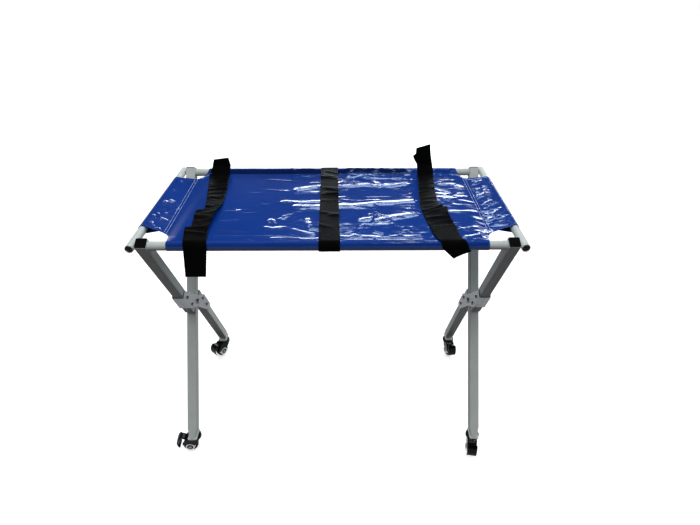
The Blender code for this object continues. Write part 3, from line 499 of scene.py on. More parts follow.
@dataclass
class Repeat:
    """Geometry Nodes tree that sets one small shape along a line, or at each point of a mesh."""

    unit: Unit
    material: Material
    length: float
    width: float
    height: float
    pitch: float = 0.0
    across: tuple[float, float, float] = (0.0, 0.0, 1.0)

    def shape(self, tree: Tree, size: Node) -> Socket:
        """Add the repeated shape.

        Args:
            tree: Node tree.
            size: Combine XYZ node with length, width and height.

        Returns:
            Geometry output, one unit long before it is scaled.
        """
        if self.unit is Unit.STITCH:
            source = add(tree, "GeometryNodeMeshUVSphere", {"Segments": 8, "Rings": 5, "Radius": 0.5})
        elif self.unit is Unit.RIB:
            cube = add(tree, "GeometryNodeMeshCube", {"Size": (1.0, 1.0, 1.0)})
            source = add(tree, "GeometryNodeSubdivideMesh", {"Mesh": cube.outputs[0], "Level": 1})
        else:
            source = add(tree, "GeometryNodeMeshCylinder", {"Vertices": 24, "Radius": 0.5, "Depth": 1.0})
        scaled = add(tree, "GeometryNodeTransform", {"Geometry": source.outputs[0], "Scale": size.outputs[0]})
        return scaled.outputs[0]

    def tree(self) -> Tree:
        """Build the tree with named inputs for its sizes.

        Returns:
            The node group.
        """
        group = bpy.data.node_groups.new(f"{self.unit.value}_repeat", "GeometryNodeTree")
        group.interface.new_socket("Geometry", in_out="INPUT", socket_type="NodeSocketGeometry")
        for name in ("Pitch", "Length", "Width", "Height"):
            group.interface.new_socket(name, in_out="INPUT", socket_type="NodeSocketFloat")
        group.interface.new_socket("Across", in_out="INPUT", socket_type="NodeSocketVector")
        group.interface.new_socket("Geometry", in_out="OUTPUT", socket_type="NodeSocketGeometry")
        given = add(group, "NodeGroupInput").outputs
        size = add(group, "ShaderNodeCombineXYZ", {0: given["Length"], 1: given["Width"], 2: given["Height"]})
        turn = add(group, "FunctionNodeAlignRotationToVector", {"Vector": given["Across"]},
                   axis="Z" if self.unit is Unit.WASHER else "Y").outputs[0]
        source = given["Geometry"]
        if self.unit is not Unit.WASHER:
            line = add(group, "GeometryNodeMeshToCurve", {"Mesh": source})
            evened = add(group, "GeometryNodeResampleCurve", {"Curve": line.outputs[0], "Length": given["Pitch"]},
                         mode="LENGTH")
            tangent = add(group, "GeometryNodeInputTangent")
            turn = add(group, "FunctionNodeAlignRotationToVector", {"Rotation": turn, "Vector": tangent.outputs[0]},
                       axis="X", pivot_axis="AUTO").outputs[0]
            source = evened.outputs[0]
        spread = add(group, "GeometryNodeInstanceOnPoints", {"Points": source, "Instance": self.shape(group, size),
                                                             "Rotation": turn})
        real = add(group, "GeometryNodeRealizeInstances", {"Geometry": spread.outputs[0]})
        done = add(group, "GeometryNodeSetMaterial", {"Geometry": real.outputs[0], "Material": self.material})
        add(group, "NodeGroupOutput", {"Geometry": done.outputs[0]})
        return group

    def along(self, name: str, lines: list[list]) -> Piece:
        """Set the shapes along lines of points.

        Args:
            name: Piece name.
            lines: Lists of places; a list for points holds one place each.

        Returns:
            A plain mesh piece.
        """
        points, edges = [], []
        for line in lines:
            edges += [(len(points) + i, len(points) + i + 1) for i in range(len(line) - 1)]
            points += [tuple(map(float, p)) for p in line]
        mesh = bpy.data.meshes.new(name)
        mesh.from_pydata(points, edges, [])
        carrier = bpy.data.objects.new(f"{name}_lines", mesh)
        group = self.tree()
        modifier = carrier.modifiers.new("repeat", "NODES")
        modifier.node_group = group
        values = {"Pitch": self.pitch, "Length": self.length, "Width": self.width, "Height": self.height,
                  "Across": self.across}
        for item in group.interface.items_tree:
            if item.in_out == "INPUT" and item.name in values:
                modifier[item.identifier] = values[item.name]
        bpy.context.scene.collection.objects.link(carrier)
        return plain_mesh(carrier, name)


def tube_profile(away: np.ndarray, radius: float, rise: np.ndarray | float, seam: np.ndarray | float) -> np.ndarray:
    """Height over a tube's axis of a sheet that lies on the tube and runs down to a seam.

    Args:
        away: Distance from the axis, towards the panel.
        radius: Radius of the sheet's middle on the tube.
        rise: Height of the panel over the axis.
        seam: Distance of the seam from the axis.

    Returns:
        Heights over the axis.
    """
    slope = np.arctan2(rise, seam) + np.arccos(radius / np.hypot(rise, seam))
    start = radius * np.cos(slope)
    top = radius * np.sin(slope)
    on_tube = np.sqrt(np.maximum(radius ** 2 - np.minimum(away, start) ** 2, 0.0))
    fall = top + (rise - top) * np.clip((away - start) / (seam - start), 0.0, 1.0)
    return np.where(away < start, on_tube, fall)


def wrap_section(radius: float, rise: float, seam: float, layer: float) -> list[Pair]:
    """Section of a sleeve from the tube's crown round its far side and back under to the seam.

    Args:
        radius: Radius of the sheet's middle on the tube.
        rise: Height of the panel over the axis.
        seam: Distance of the seam from the axis.
        layer: Drop of the under layer below the panel at the seam.

    Returns:
        Points (towards the panel, up) from the axis, without the crown itself.
    """
    low = rise - layer
    end = math.atan2(low, seam) - math.acos(radius / math.hypot(low, seam)) + 2 * math.pi
    angles = np.linspace(math.pi / 2, end, 22)[1:]
    round_part = [(radius * math.cos(a), radius * math.sin(a)) for a in angles]
    last = round_part[-1]
    flap = [(last[0] + (seam - last[0]) * s, last[1] + (low - last[1]) * s) for s in (0.25, 0.5, 0.75, 1.0)]
    return round_part + flap


@dataclass(frozen=True)
class Scatter:
    """Ranges, in metres, from which short straight creases are drawn."""

    reach: Pair
    lean: Pair
    height: Pair = (0.0006, 0.0013)
    width: Pair = (0.0025, 0.004)

    def draw(self, random: np.random.RandomState, x: float, y: float) -> Crease:
        """Draw one crease about a place.

        Args:
            random: Source of the draws.
            x: Place along the table.
            y: Place across the table.

        Returns:
            Height, half width and points.
        """
        reach, lean = random.uniform(*self.reach), random.uniform(*self.lean)
        middle, run = np.array((x, y)), np.array((reach, reach * lean))
        return random.uniform(*self.height), random.uniform(*self.width), np.array((middle - run, middle + run))


@dataclass
class TableSheet:
    """The coated sheet: a panel with sleeves round the rails and the end bars, and creases from folding."""

    places: Places
    finishes: Finishes
    thickness: float = 0.0010
    gap: float = 0.0005
    under_layer: float = 0.0022
    rise: float = 0.003
    end_seam: float = 0.042
    front_rise: float = 0.0118
    front_seam: float = 0.030
    rear_rise: float = 0.0
    rear_seam: float = 0.018
    bar_seam: float = 0.066
    sleeve_half: float = 0.405
    sleeve_swell: float = 0.055
    ease_end: float = 0.425
    ease_length: float = 0.045
    corner_fade: float = 0.022
    front_end: float = -0.151
    front_slant: float = 0.030
    front_bend: float = 0.09
    rear_end: float = 0.166
    rear_bend: float = 0.11
    hem_height: float = 0.0006
    hem_width: float = 0.010
    hem_ramp: float = 0.002
    left_stitch: float = -0.4275
    right_stitch: float = 0.4225
    stitch_lean: float = 0.018
    stitch_pivot: float = 0.15
    stitch_lift: float = 0.0002
    stitch_offset: float = 0.0037
    stitch_margin: float = 0.006
    seam_dip: float = 0.0007
    seam_half: float = 0.004
    crease_end: float = 0.012
    crease_tip: float = 0.15
    crease_power: float = 1.3
    crease_cap: float = 0.0056
    left_cover: float = 0.038
    right_cover: float = 0.031
    cover_ramp: float = 0.008
    cover_keep: float = 0.12
    seed: int = 7

    # Tables in millimetres from the table's middle. LONG holds height, half width and points of each crease.
    LONG = (
        (3, 10, ((-119, 81), (-73, 96), (-35, 110), (0, 111), (66, 112), (106, 118), (146, 111), (196, 117),
                 (246, 130))),
        (1.1, 5, ((-115, 52), (-84, 67), (-30, 69))),
        (2.2, 7, ((-149, -3), (-129, 1), (-95, -6), (-30, 1), (30, -2))),
        (3.4, 12, ((-112, -30), (-77, -34), (-28, -34), (30, -29), (64, -31), (98, -22), (135, -12), (185, -10),
                   (257, 6))),
        (2.1, 6, ((-177, -156), (-149, -166), (-119, -159), (-72, -184), (-28, -202))),
        (1.5, 5, ((-63, -165), (-29, -172), (30, -177))),
        (2, 5, ((-156, -219), (-102, -216), (-65, -224), (-26, -223), (31, -212), (52, -213), (70, -202), (95, -213),
                (132, -216), (167, -219), (208, -212), (238, -205))),
        (1.8, 4.5, ((33, -228), (77, -228), (156, -231), (246, -228))),
        (0.7, 3, ((-310, -207), (-150, -207), (0, -208), (250, -208))),
        (2, 4, ((-202, -233), (-190, -223))),
        (5, 19, ((40, 206), (85, 208), (135, 204), (155, 198))),
        (2.4, 8, ((95, 186), (120, 182), (160, 176), (235, 182))),
        (1.6, 5, ((30, 156), (48, 142), (84, 147))),
        (1.5, 4, ((126, 162), (138, 132), (143, 118))),
        (1.8, 5, ((126, -19), (129, -59), (126, -95))),
        (2.2, 6, ((75, -120), (111, -108), (118, -93))),
        (3.2, 10, ((135, -120), (157, -109), (197, -95), (251, -78))),
        (2, 4, ((135, -115), (145, -131))),
        (1.6, 5, ((111, -177), (133, -196), (151, -201))),
        (1.5, 6, ((326, 125), (363, 125), (413, 99))),
        (2.2, 6, ((318, 20), (356, 20), (409, 38))),
        (1.5, 5, ((320, 3), (367, 9), (421, -6))),
        (2.2, 6, ((325, -64), (361, -67), (420, -64))),
        (1.4, 5, ((332, -174), (363, -167), (399, -156))),
        (2, 5, ((328, -209), (353, -214), (389, -201), (437, -169))),
        (1.2, 4, ((372, 78), (405, 79))),
        (1.3, 4, ((369, 52), (408, 58))),
        (1.4, 4, ((386, -110), (420, -106))),
    )
    SHORT = (((-144, -112), (-129, -108), (-115, -85)), ((-165, -138), (-160, -116), (-141, -133)),
             ((-59, -103), (-55, -159)), ((-263, -60), (-252, -52)), ((-474, -16), (-452, 7)),
             ((-478, -29), (-476, 7)), ((-481, -72), (-466, -89)), ((-480, -117), (-482, -93), (-471, -118)),
             ((-463, -97), (-438, -115)), ((-472, -81), (-458, -118)), ((-473, -47), (-461, -52)),
             ((-484, -139), (-468, -129)), ((-482, -121), (-464, -150)), ((-462, -155), (-438, -158)),
             ((-480, -142), (-468, -148)), ((-465, -74), (-450, -72)), ((-476, 140), (-466, 130)),
             ((-479, 65), (-470, 75)), ((441, 118), (474, 143)), ((441, 36), (471, 55)), ((460, 75), (482, 60)),
             ((444, -16), (471, 2)), ((447, -90), (468, -64), (486, -47)), ((435, -98), (447, -104)),
             ((432, -126), (448, -126)), ((437, 75), (459, 90)), ((446, 150), (446, 126)), ((428, -69), (443, -81)),
             ((434, -43), (450, -29)))
    STARS = ((-137, 1), (-186, -24), (-158, -117), (-56, -130), (127, -22), (128, -94), (138, -115), (62, 146),
             (141, 130), (66, -65), (85, -162), (45, 33), (-117, -87), (-263, -57), (440, -75), (207, 188))
    # Middles of the left and the right strap: places across the table, then along it, in metres.
    LEFT_LINE = ((-0.25, -0.16, -0.06, 0.0, 0.10, 0.24), (-0.335, -0.341, -0.340, -0.338, -0.350, -0.368))
    RIGHT_LINE = ((-0.25, -0.17, -0.09, 0.0, 0.12, 0.24), (0.320, 0.299, 0.291, 0.285, 0.294, 0.306))
    PANEL = Scatter((0.015, 0.055), (-0.25, 0.25), (0.0004, 0.0010), (0.0025, 0.005))
    ENDS = Scatter((0.006, 0.016), (-1.2, 1.6))
    BORDERS = Scatter((0.006, 0.022), (-0.7, 0.7))

    @property
    def rail_wrap(self) -> float:
        """Radius of the sheet's middle round a rail."""
        return self.places.rail_radius + self.gap + self.thickness / 2

    @property
    def bar_wrap(self) -> float:
        """Radius of the sheet's middle round an end bar."""
        return self.places.bar_radius + self.gap + self.thickness / 2

    def edges(self, x: np.ndarray) -> tuple[np.ndarray, np.ndarray]:
        """Front and rear edge of the panel: rail crowns, then the cut corners out to the end bars.

        Args:
            x: Places along the table.

        Returns:
            Front and rear places across the table.
        """
        share = np.clip((np.abs(x) - self.sleeve_half) / (self.places.bar_x - self.sleeve_half), 0.0, 1.0)
        rail = self.places.rail_y
        rear = self.rear_end + (rail - self.rear_end) * np.exp(-share / self.rear_bend)
        slant = self.front_slant * (1 - share)
        front = self.front_end - slant - (rail + self.front_end - self.front_slant) * np.exp(-share / self.front_bend)
        return np.where(share > 0, front, -rail), np.where(share > 0, rear, rail)

    def creases(self) -> list[Crease]:
        """Lines of the creases: the large ones as measured, the small ones drawn at random.

        Returns:
            Height in metres, half width in metres and points of each crease.
        """
        random = np.random.RandomState(self.seed)
        rail, end_start, end_gain = self.places.rail_y, -430, 1.35
        lines = [(height / 1000, width / 1000, np.array(points) / 1000) for height, width, points in self.LONG]
        lines += [(random.uniform(0.0020, 0.0030) * (end_gain if points[0][0] < end_start else 1.0),
                   random.uniform(0.003, 0.0050), np.array(points) / 1000) for points in self.SHORT]
        for x, y in np.array(self.STARS) / 1000:
            for turn in random.uniform(0, 2 * math.pi, 4):
                reach = random.uniform(0.010, 0.026)
                tip = (x + reach * math.cos(turn), y + 0.8 * reach * math.sin(turn))
                lines.append((random.uniform(0.0008, 0.0015), random.uniform(0.0025, 0.004), np.array(((x, y), tip))))
        for _ in range(46):
            x = random.choice((random.uniform(0.02, 0.40), random.uniform(-0.30, 0.24)))
            lines.append(self.PANEL.draw(random, x, random.uniform(-0.185, 0.185)))
        for _ in range(85):
            side = random.choice((-1, 1, 1))
            x = side * random.uniform(0.436, 0.480)
            y = random.uniform(-0.135, 0.02) if side < 0 else random.uniform(-0.14, 0.15)
            lines.append(self.ENDS.draw(random, x, y))
        for _ in range(70):
            end = random.choice((-1, 1))
            x = random.uniform(-0.12, 0.38) if end < 0 else random.uniform(-0.15, 0.36)
            lines.append(self.BORDERS.draw(random, x, end * (rail - random.uniform(0.008, 0.040))))
        for x in np.concatenate((np.arange(-0.145, -0.035, 0.017), np.arange(0.028, 0.25, 0.014), (0.35, 0.375))):
            x = x + random.uniform(-0.005, 0.005)
            low, high = rail - random.uniform(0.008, 0.013), rail - 0.001
            reach = random.uniform(0.018, 0.034) * random.choice((-1, -1, 1))
            lines.append((random.uniform(0.0022, 0.0034), 0.0034, np.array(((x - reach, high), (x, low)))))
        return lines

    def crumple(self, x: np.ndarray, y: np.ndarray) -> np.ndarray:
        """Height of the creases over the smooth sheet, pressed flat under the two loose straps.

        Args:
            x: Places along the table.
            y: Places across the table.

        Returns:
            Heights in metres, never below the smooth sheet.
        """
        total = np.zeros_like(x)
        for height, width, points in self.creases():
            best = np.zeros_like(x)
            length = float(np.linalg.norm(np.diff(points, axis=0), axis=1).sum())
            walked = 0.0
            for a, b in zip(points, points[1:]):
                run = b - a
                size = float(np.linalg.norm(run))
                share = np.clip(((x - a[0]) * run[0] + (y - a[1]) * run[1]) / size ** 2, 0.0, 1.0)
                off = np.hypot(x - a[0] - share * run[0], y - a[1] - share * run[1])
                along = (walked + share * size) / length
                taper = np.clip(np.minimum(along, 1 - along) * length / self.crease_end, self.crease_tip, 1.0)
                best = np.maximum(best, taper * np.exp(-(off / width) ** self.crease_power))
                walked += size
            total = total + height * best
        for line, reach in ((self.LEFT_LINE, self.left_cover), (self.RIGHT_LINE, self.right_cover)):
            bare = np.clip((np.abs(x - np.interp(y, *line)) - reach) / self.cover_ramp, 0.0, 1.0)
            total = total * (self.cover_keep + (1 - self.cover_keep) * bare)
        return np.minimum(total, self.crease_cap)

    def height(self, x: np.ndarray, y: np.ndarray) -> np.ndarray:
        """Height of the sheet's middle between the tubes' crowns.

        Args:
            x: Places along the table, from its middle.
            y: Places across the table, from its middle.

        Returns:
            Heights over the floor.
        """
        spot = self.places
        (front_rise, front_seam), (rear_rise, rear_seam) = self.joint(x, -1), self.joint(x, 1)
        span = 2 * spot.rail_y - front_seam - rear_seam
        plane = front_rise + (rear_rise - front_rise) * np.clip((y + spot.rail_y - front_seam) / span, 0.0, 1.0)
        rails = np.where(y < 0, tube_profile(spot.rail_y + y, self.rail_wrap, front_rise, front_seam) - front_rise,
                         tube_profile(spot.rail_y - y, self.rail_wrap, rear_rise, rear_seam) - rear_rise)
        fade = np.clip(1 - (np.abs(x) - self.sleeve_half) / self.corner_fade, 0.0, 1.0)
        lift = spot.bar_z - spot.rail_z
        bars = tube_profile(spot.bar_x - np.abs(x), self.bar_wrap, self.rise - lift, self.bar_seam) + lift - self.rise
        front, rear = self.edges(x)
        rim = np.minimum(y - front, rear - y)
        hem = self.hem_height * np.clip((self.hem_width - rim) / self.hem_ramp, 0.0, 1.0)
        hem = hem * (np.abs(x) > self.sleeve_half)
        seams = sum(self.seam_dip * np.exp(-((x - line) / self.seam_half) ** 2) for line in self.stitch_lines(y))
        return spot.rail_z + plane + rails * fade + bars + hem - seams + self.crumple(x, y)

    def stitch_lines(self, y: np.ndarray) -> tuple[np.ndarray, np.ndarray]:
        """Middles of the left and the right seam along the table; the left one leans."""
        return self.left_stitch - self.stitch_lean * (y + self.stitch_pivot), self.right_stitch + 0.0 * y

    def joint(self, x: np.ndarray, sign: int) -> tuple[np.ndarray, np.ndarray]:
        """Where the panel leaves a rail's sleeve: high over the front rail, low at the rear rail.

        Args:
            x: Places along the table.
            sign: -1 at the front rail, 1 at the rear rail.

        Returns:
            Height over the rail's axis and distance from it.
        """
        share = np.clip((self.ease_end - np.abs(x)) / self.ease_length, 0.0, 1.0)
        share = share * share * (3 - 2 * share)
        rise, seam = (self.front_rise, self.front_seam) if sign < 0 else (self.rear_rise, self.rear_seam)
        return self.rise + (rise - self.rise) * share, self.end_seam + (seam - self.end_seam) * share

    def grid(self) -> tuple[np.ndarray, np.ndarray]:
        """Columns along the table and shares across it, closer together at the tubes.

        Returns:
            Column places, and shares from the front edge to the rear edge.
        """
        rail, bar = self.places.rail_y, self.places.bar_x
        corner, near_bar, near_rail = 0.431, 0.012, 0.018
        half = np.concatenate((np.linspace(0.0, self.sleeve_half, 109),
                               np.linspace(self.sleeve_half, corner, 14)[1:],
                               np.linspace(corner, bar - near_bar, 16)[1:],
                               bar - np.array((0.009, 0.006, 0.003, 0.0))))
        near = np.array((0.0, 0.002, 0.0045, 0.007, 0.0095, 0.012, 0.015))
        middle = np.linspace(-rail + near_rail, rail - near_rail, 126)
        y = np.concatenate((near - rail, middle, (rail - near)[::-1]))
        return np.concatenate((-half[:0:-1], half)), (y + rail) / (2 * rail)

    def build(self) -> Piece:
        """Returns:
            The sheet, in place of its CAD solid.
        """
        spot = self.places
        columns, shares = self.grid()
        front, rear = self.edges(columns)
        x = np.repeat(columns[:, None], len(shares), 1)
        y = front[:, None] + (rear - front)[:, None] * shares[None, :]
        points = list(np.stack((x, y, self.height(x, y)), -1).reshape(-1, 3))
        many = len(shares)
        number = np.arange(len(points)).reshape(len(columns), many)
        faces = [(number[i, j], number[i + 1, j], number[i + 1, j + 1], number[i, j + 1])
                 for i in range(len(columns) - 1) for j in range(many - 1)]
        inside = [i for i, place in enumerate(columns) if abs(place) < self.sleeve_half + 1e-6]
        random = np.random.RandomState(self.seed + 1)
        ripple = np.convolve(random.uniform(0, 1, len(columns) + 4), np.ones(5) / 5, "valid")
        round_steps = 20
        for sign, edge in ((-1, 0), (1, many - 1)):
            rows = [[number[i, edge] for i in inside]]
            rise, seam = self.joint(columns, sign)
            sections = {i: wrap_section(self.rail_wrap, rise[i], seam[i], self.under_layer) for i in inside}
            for step in range(len(sections[inside[0]])):
                wave = self.sleeve_swell * np.sin(step * 0.9) * (step < round_steps)
                swell = np.maximum(1 + wave * (ripple - 0.3), 1.0)
                start = len(points)
                points += [(columns[i], sign * (spot.rail_y - sections[i][step][0] * swell[i]),
                            spot.rail_z + sections[i][step][1] * swell[i]) for i in inside]
                rows.append(list(range(start, len(points))))
            faces += self.strip(rows, flip=sign < 0)
        lift = spot.bar_z - spot.rail_z
        section = wrap_section(self.bar_wrap, self.rise - lift, self.bar_seam, self.under_layer)
        for sign, edge in ((-1, 0), (1, len(columns) - 1)):
            rows = [list(number[edge])]
            for inward, up in section:
                start = len(points)
                points += [(sign * (spot.bar_x - inward), y[edge, j], spot.bar_z + up) for j in range(many)]
                rows.append(list(range(start, len(points))))
            faces += self.strip(rows, flip=sign > 0)
        places = np.array([tuple(p) for p in points]) + np.array(spot.centre)
        piece = new_piece("coated_sheet", places, faces, self.finishes.sheet)
        thicken(piece, self.thickness)
        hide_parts("table_sheet")
        across_frames(piece)
        return piece

    @staticmethod
    def strip(rows: list[list[int]], flip: bool) -> list[tuple[int, int, int, int]]:
        """Faces between rows of vertices that start at the panel's edge.

        Args:
            rows: Vertex numbers, row by row.
            flip: Whether the winding is turned round.

        Returns:
            Four vertex numbers for each face.
        """
        faces = []
        for low, high in zip(rows, rows[1:]):
            for i in range(len(low) - 1):
                quad = (low[i], low[i + 1], high[i + 1], high[i])
                faces.append(quad[::-1] if flip else quad)
        return faces

    def stitching(self) -> Piece:
        """Double rows of stitches that close the end sleeves.

        Returns:
            The stitches as one piece.
        """
        lines = []
        for side, middle in enumerate((self.left_stitch, self.right_stitch)):
            for offset in (-self.stitch_offset, self.stitch_offset):
                front, rear = self.edges(np.array((middle + offset,)))
                y = np.linspace(front[0] + self.stitch_margin, rear[0] - self.stitch_margin, 150)
                x = self.stitch_lines(y)[side] + offset
                z = self.height(x, y) + self.thickness / 2 + self.stitch_lift
                lines.append([Vector(p) + self.places.centre for p in np.stack((x, y, z), -1)])
        stitch = Repeat(Unit.STITCH, self.finishes.thread, length=0.0044, width=0.0019, height=0.0011, pitch=0.0058)
        piece = stitch.along("sleeve_stitching", lines)
        piece.data.polygons.foreach_set("use_smooth", [True] * len(piece.data.polygons))
        across_frames(piece)
        return piece


def across_frames(piece: Piece) -> None:
    """Bake a soft piece's placement into its mesh.

    Args:
        piece: Finished soft piece.
    """
    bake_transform(piece)


@dataclass
class Strap:
    """A webbing strap: a ribbon on a side route, with its edges, creases and folds."""

    name: str
    node: str
    places: Places
    finishes: Finishes
    route: list[Pair]
    left: np.ndarray
    right: np.ndarray
    steps: tuple[float, ...] = ()
    seed: int = 1
    creases: int = 26
    crease_span: Pair = (-0.25, 0.25)
    curl: tuple[float, float, float] = (0.0, 0.05, 0.0)
    front_cut: Pair = (0.0, 0.0)
    rear_cut: Pair = (0.0, 0.0)
    closed: bool = False
    thickness: float = 0.0014
    pitch: float = 0.0025
    across: int = 18
    probe: float = 0.002
    crease_width: float = 0.055
    crease_ramp: float = 0.2
    crease_cap: float = 0.0052
    fold_height: float = 0.0034
    fold_fade: float = 0.050
    fold_ramp: float = 0.002
    fold_lean: float = 0.16
    edge_height: float = 0.0003
    edge_start: float = 0.44
    edge_ramp: float = 0.03

    def station(self, y: np.ndarray, z: np.ndarray) -> np.ndarray:
        """Place along the strap: across the table on the run, then down the front tail or up the rear tail.

        Args:
            y: Places across the table.
            z: Heights over the rails' axes.

        Returns:
            One number that grows from the front tail's end to the rear tail's end.
        """
        rail = self.places.rail_y
        front = np.where((y < -rail) & (z < 0), -rail - STRAP_TURN + z, y)
        return np.where(z > STRAP_TURN + 0.0001, rail + z - STRAP_TURN, front)

    def build(self) -> Piece:
        """Make the strap in place of its CAD solid.

        Returns:
            The strap.
        """
        route = np.array(self.route)
        if self.closed:
            route = np.vstack((route, route[:1]))
        size = np.concatenate(((0.0,), np.cumsum(np.linalg.norm(np.diff(route, axis=0), axis=1))))
        rows = int(size[-1] / self.pitch)
        along = np.linspace(0.0, size[-1], rows, endpoint=not self.closed)
        share = np.linspace(0.0, 1.0, self.across + 1)
        start, stop = np.interp(share, (0, 1), self.front_cut), size[-1] - np.interp(share, (0, 1), self.rear_cut)
        place = start[None, :] + (along / size[-1])[:, None] * (stop - start)[None, :]
        y, z = np.interp(place, size, route[:, 0]), np.interp(place, size, route[:, 1])
        period = size[-1] if self.closed else None
        ahead, behind = [[np.interp(place + step, size, route[:, k], period=period) for k in (0, 1)]
                         for step in (self.probe, -self.probe)]
        turn = np.hypot(ahead[0] - behind[0], ahead[1] - behind[1])
        spot = y if self.closed else self.station(y, z)
        left, right = np.interp(spot, *self.left.T), np.interp(spot, *self.right.T)
        x = left + (right - left) * share[None, :]
        lift = self.relief(along, spot, share)
        py = y - (ahead[1] - behind[1]) / turn * lift
        pz = self.places.rail_z + z + (ahead[0] - behind[0]) / turn * lift
        points = np.stack((x, py, pz), -1).reshape(-1, 3) + np.array(self.places.centre)
        wide = self.across + 1
        last = rows if self.closed else rows - 1
        quads = [((i, j), (i, j + 1), (i + 1, j + 1), (i + 1, j)) for i in range(last) for j in range(self.across)]
        faces = [tuple(a % rows * wide + b for a, b in quad) for quad in quads]
        piece = new_piece(self.name, points, faces, self.finishes.webbing)
        width = float(np.mean(right - left))
        weave = [(b / self.across * width, a * self.pitch) for quad in quads for a, b in quad]
        piece.data.uv_layers.new(name="Weave").data.foreach_set("uv", np.array(weave).ravel())
        thicken(piece, self.thickness)
        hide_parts(self.node)
        across_frames(piece)
        return piece

    def relief(self, along: np.ndarray, spot: np.ndarray, share: np.ndarray) -> np.ndarray:
        """Creases across the webbing, raised overlaps at its folds and a thick woven edge.

        Args:
            along: Length along the strap of each row.
            spot: Station of each point, row by column.
            share: Place of each column, from 0 to 1 across the strap.

        Returns:
            Heights off the route, row by column.
        """
        random = np.random.RandomState(self.seed)
        total = np.zeros((len(along), len(share)))
        across = (share - 0.5)[None, :] * self.crease_width
        low, high = self.crease_span
        inside = along[(spot[:, 0] > low) & (spot[:, 0] < high)]
        for _ in range(self.creases):
            place = random.choice(inside)
            lean, bend = random.uniform(-0.55, 0.15), random.uniform(-6, 6)
            off = along[:, None] - place - lean * across - bend * across ** 2
            reach = np.clip((across / self.crease_width + 0.5 - random.uniform(-0.2, 0.35)) / self.crease_ramp, 0, 1)
            reach = reach if random.uniform() < 0.5 else reach[:, ::-1]
            height = random.uniform(0.0006, 0.0020)
            total += height * np.exp(-np.abs(off / random.uniform(0.004, 0.009)) ** 1.5) * reach
        for step in self.steps:
            ahead = step - spot + self.fold_lean * across
            total += self.fold_height * (np.clip(ahead / self.fold_ramp, 0, 1)
                                         * np.exp(-np.maximum(ahead, 0) / self.fold_fade))
        edge = np.clip((np.abs(share - 0.5) - self.edge_start) / self.edge_ramp, 0, 1)[None, :]
        middle, span, height = self.curl
        raised = height * np.exp(-((spot - middle) / span) ** 2) * share[None, :] ** 2
        return np.minimum(total, self.crease_cap) + raised + self.edge_height * edge


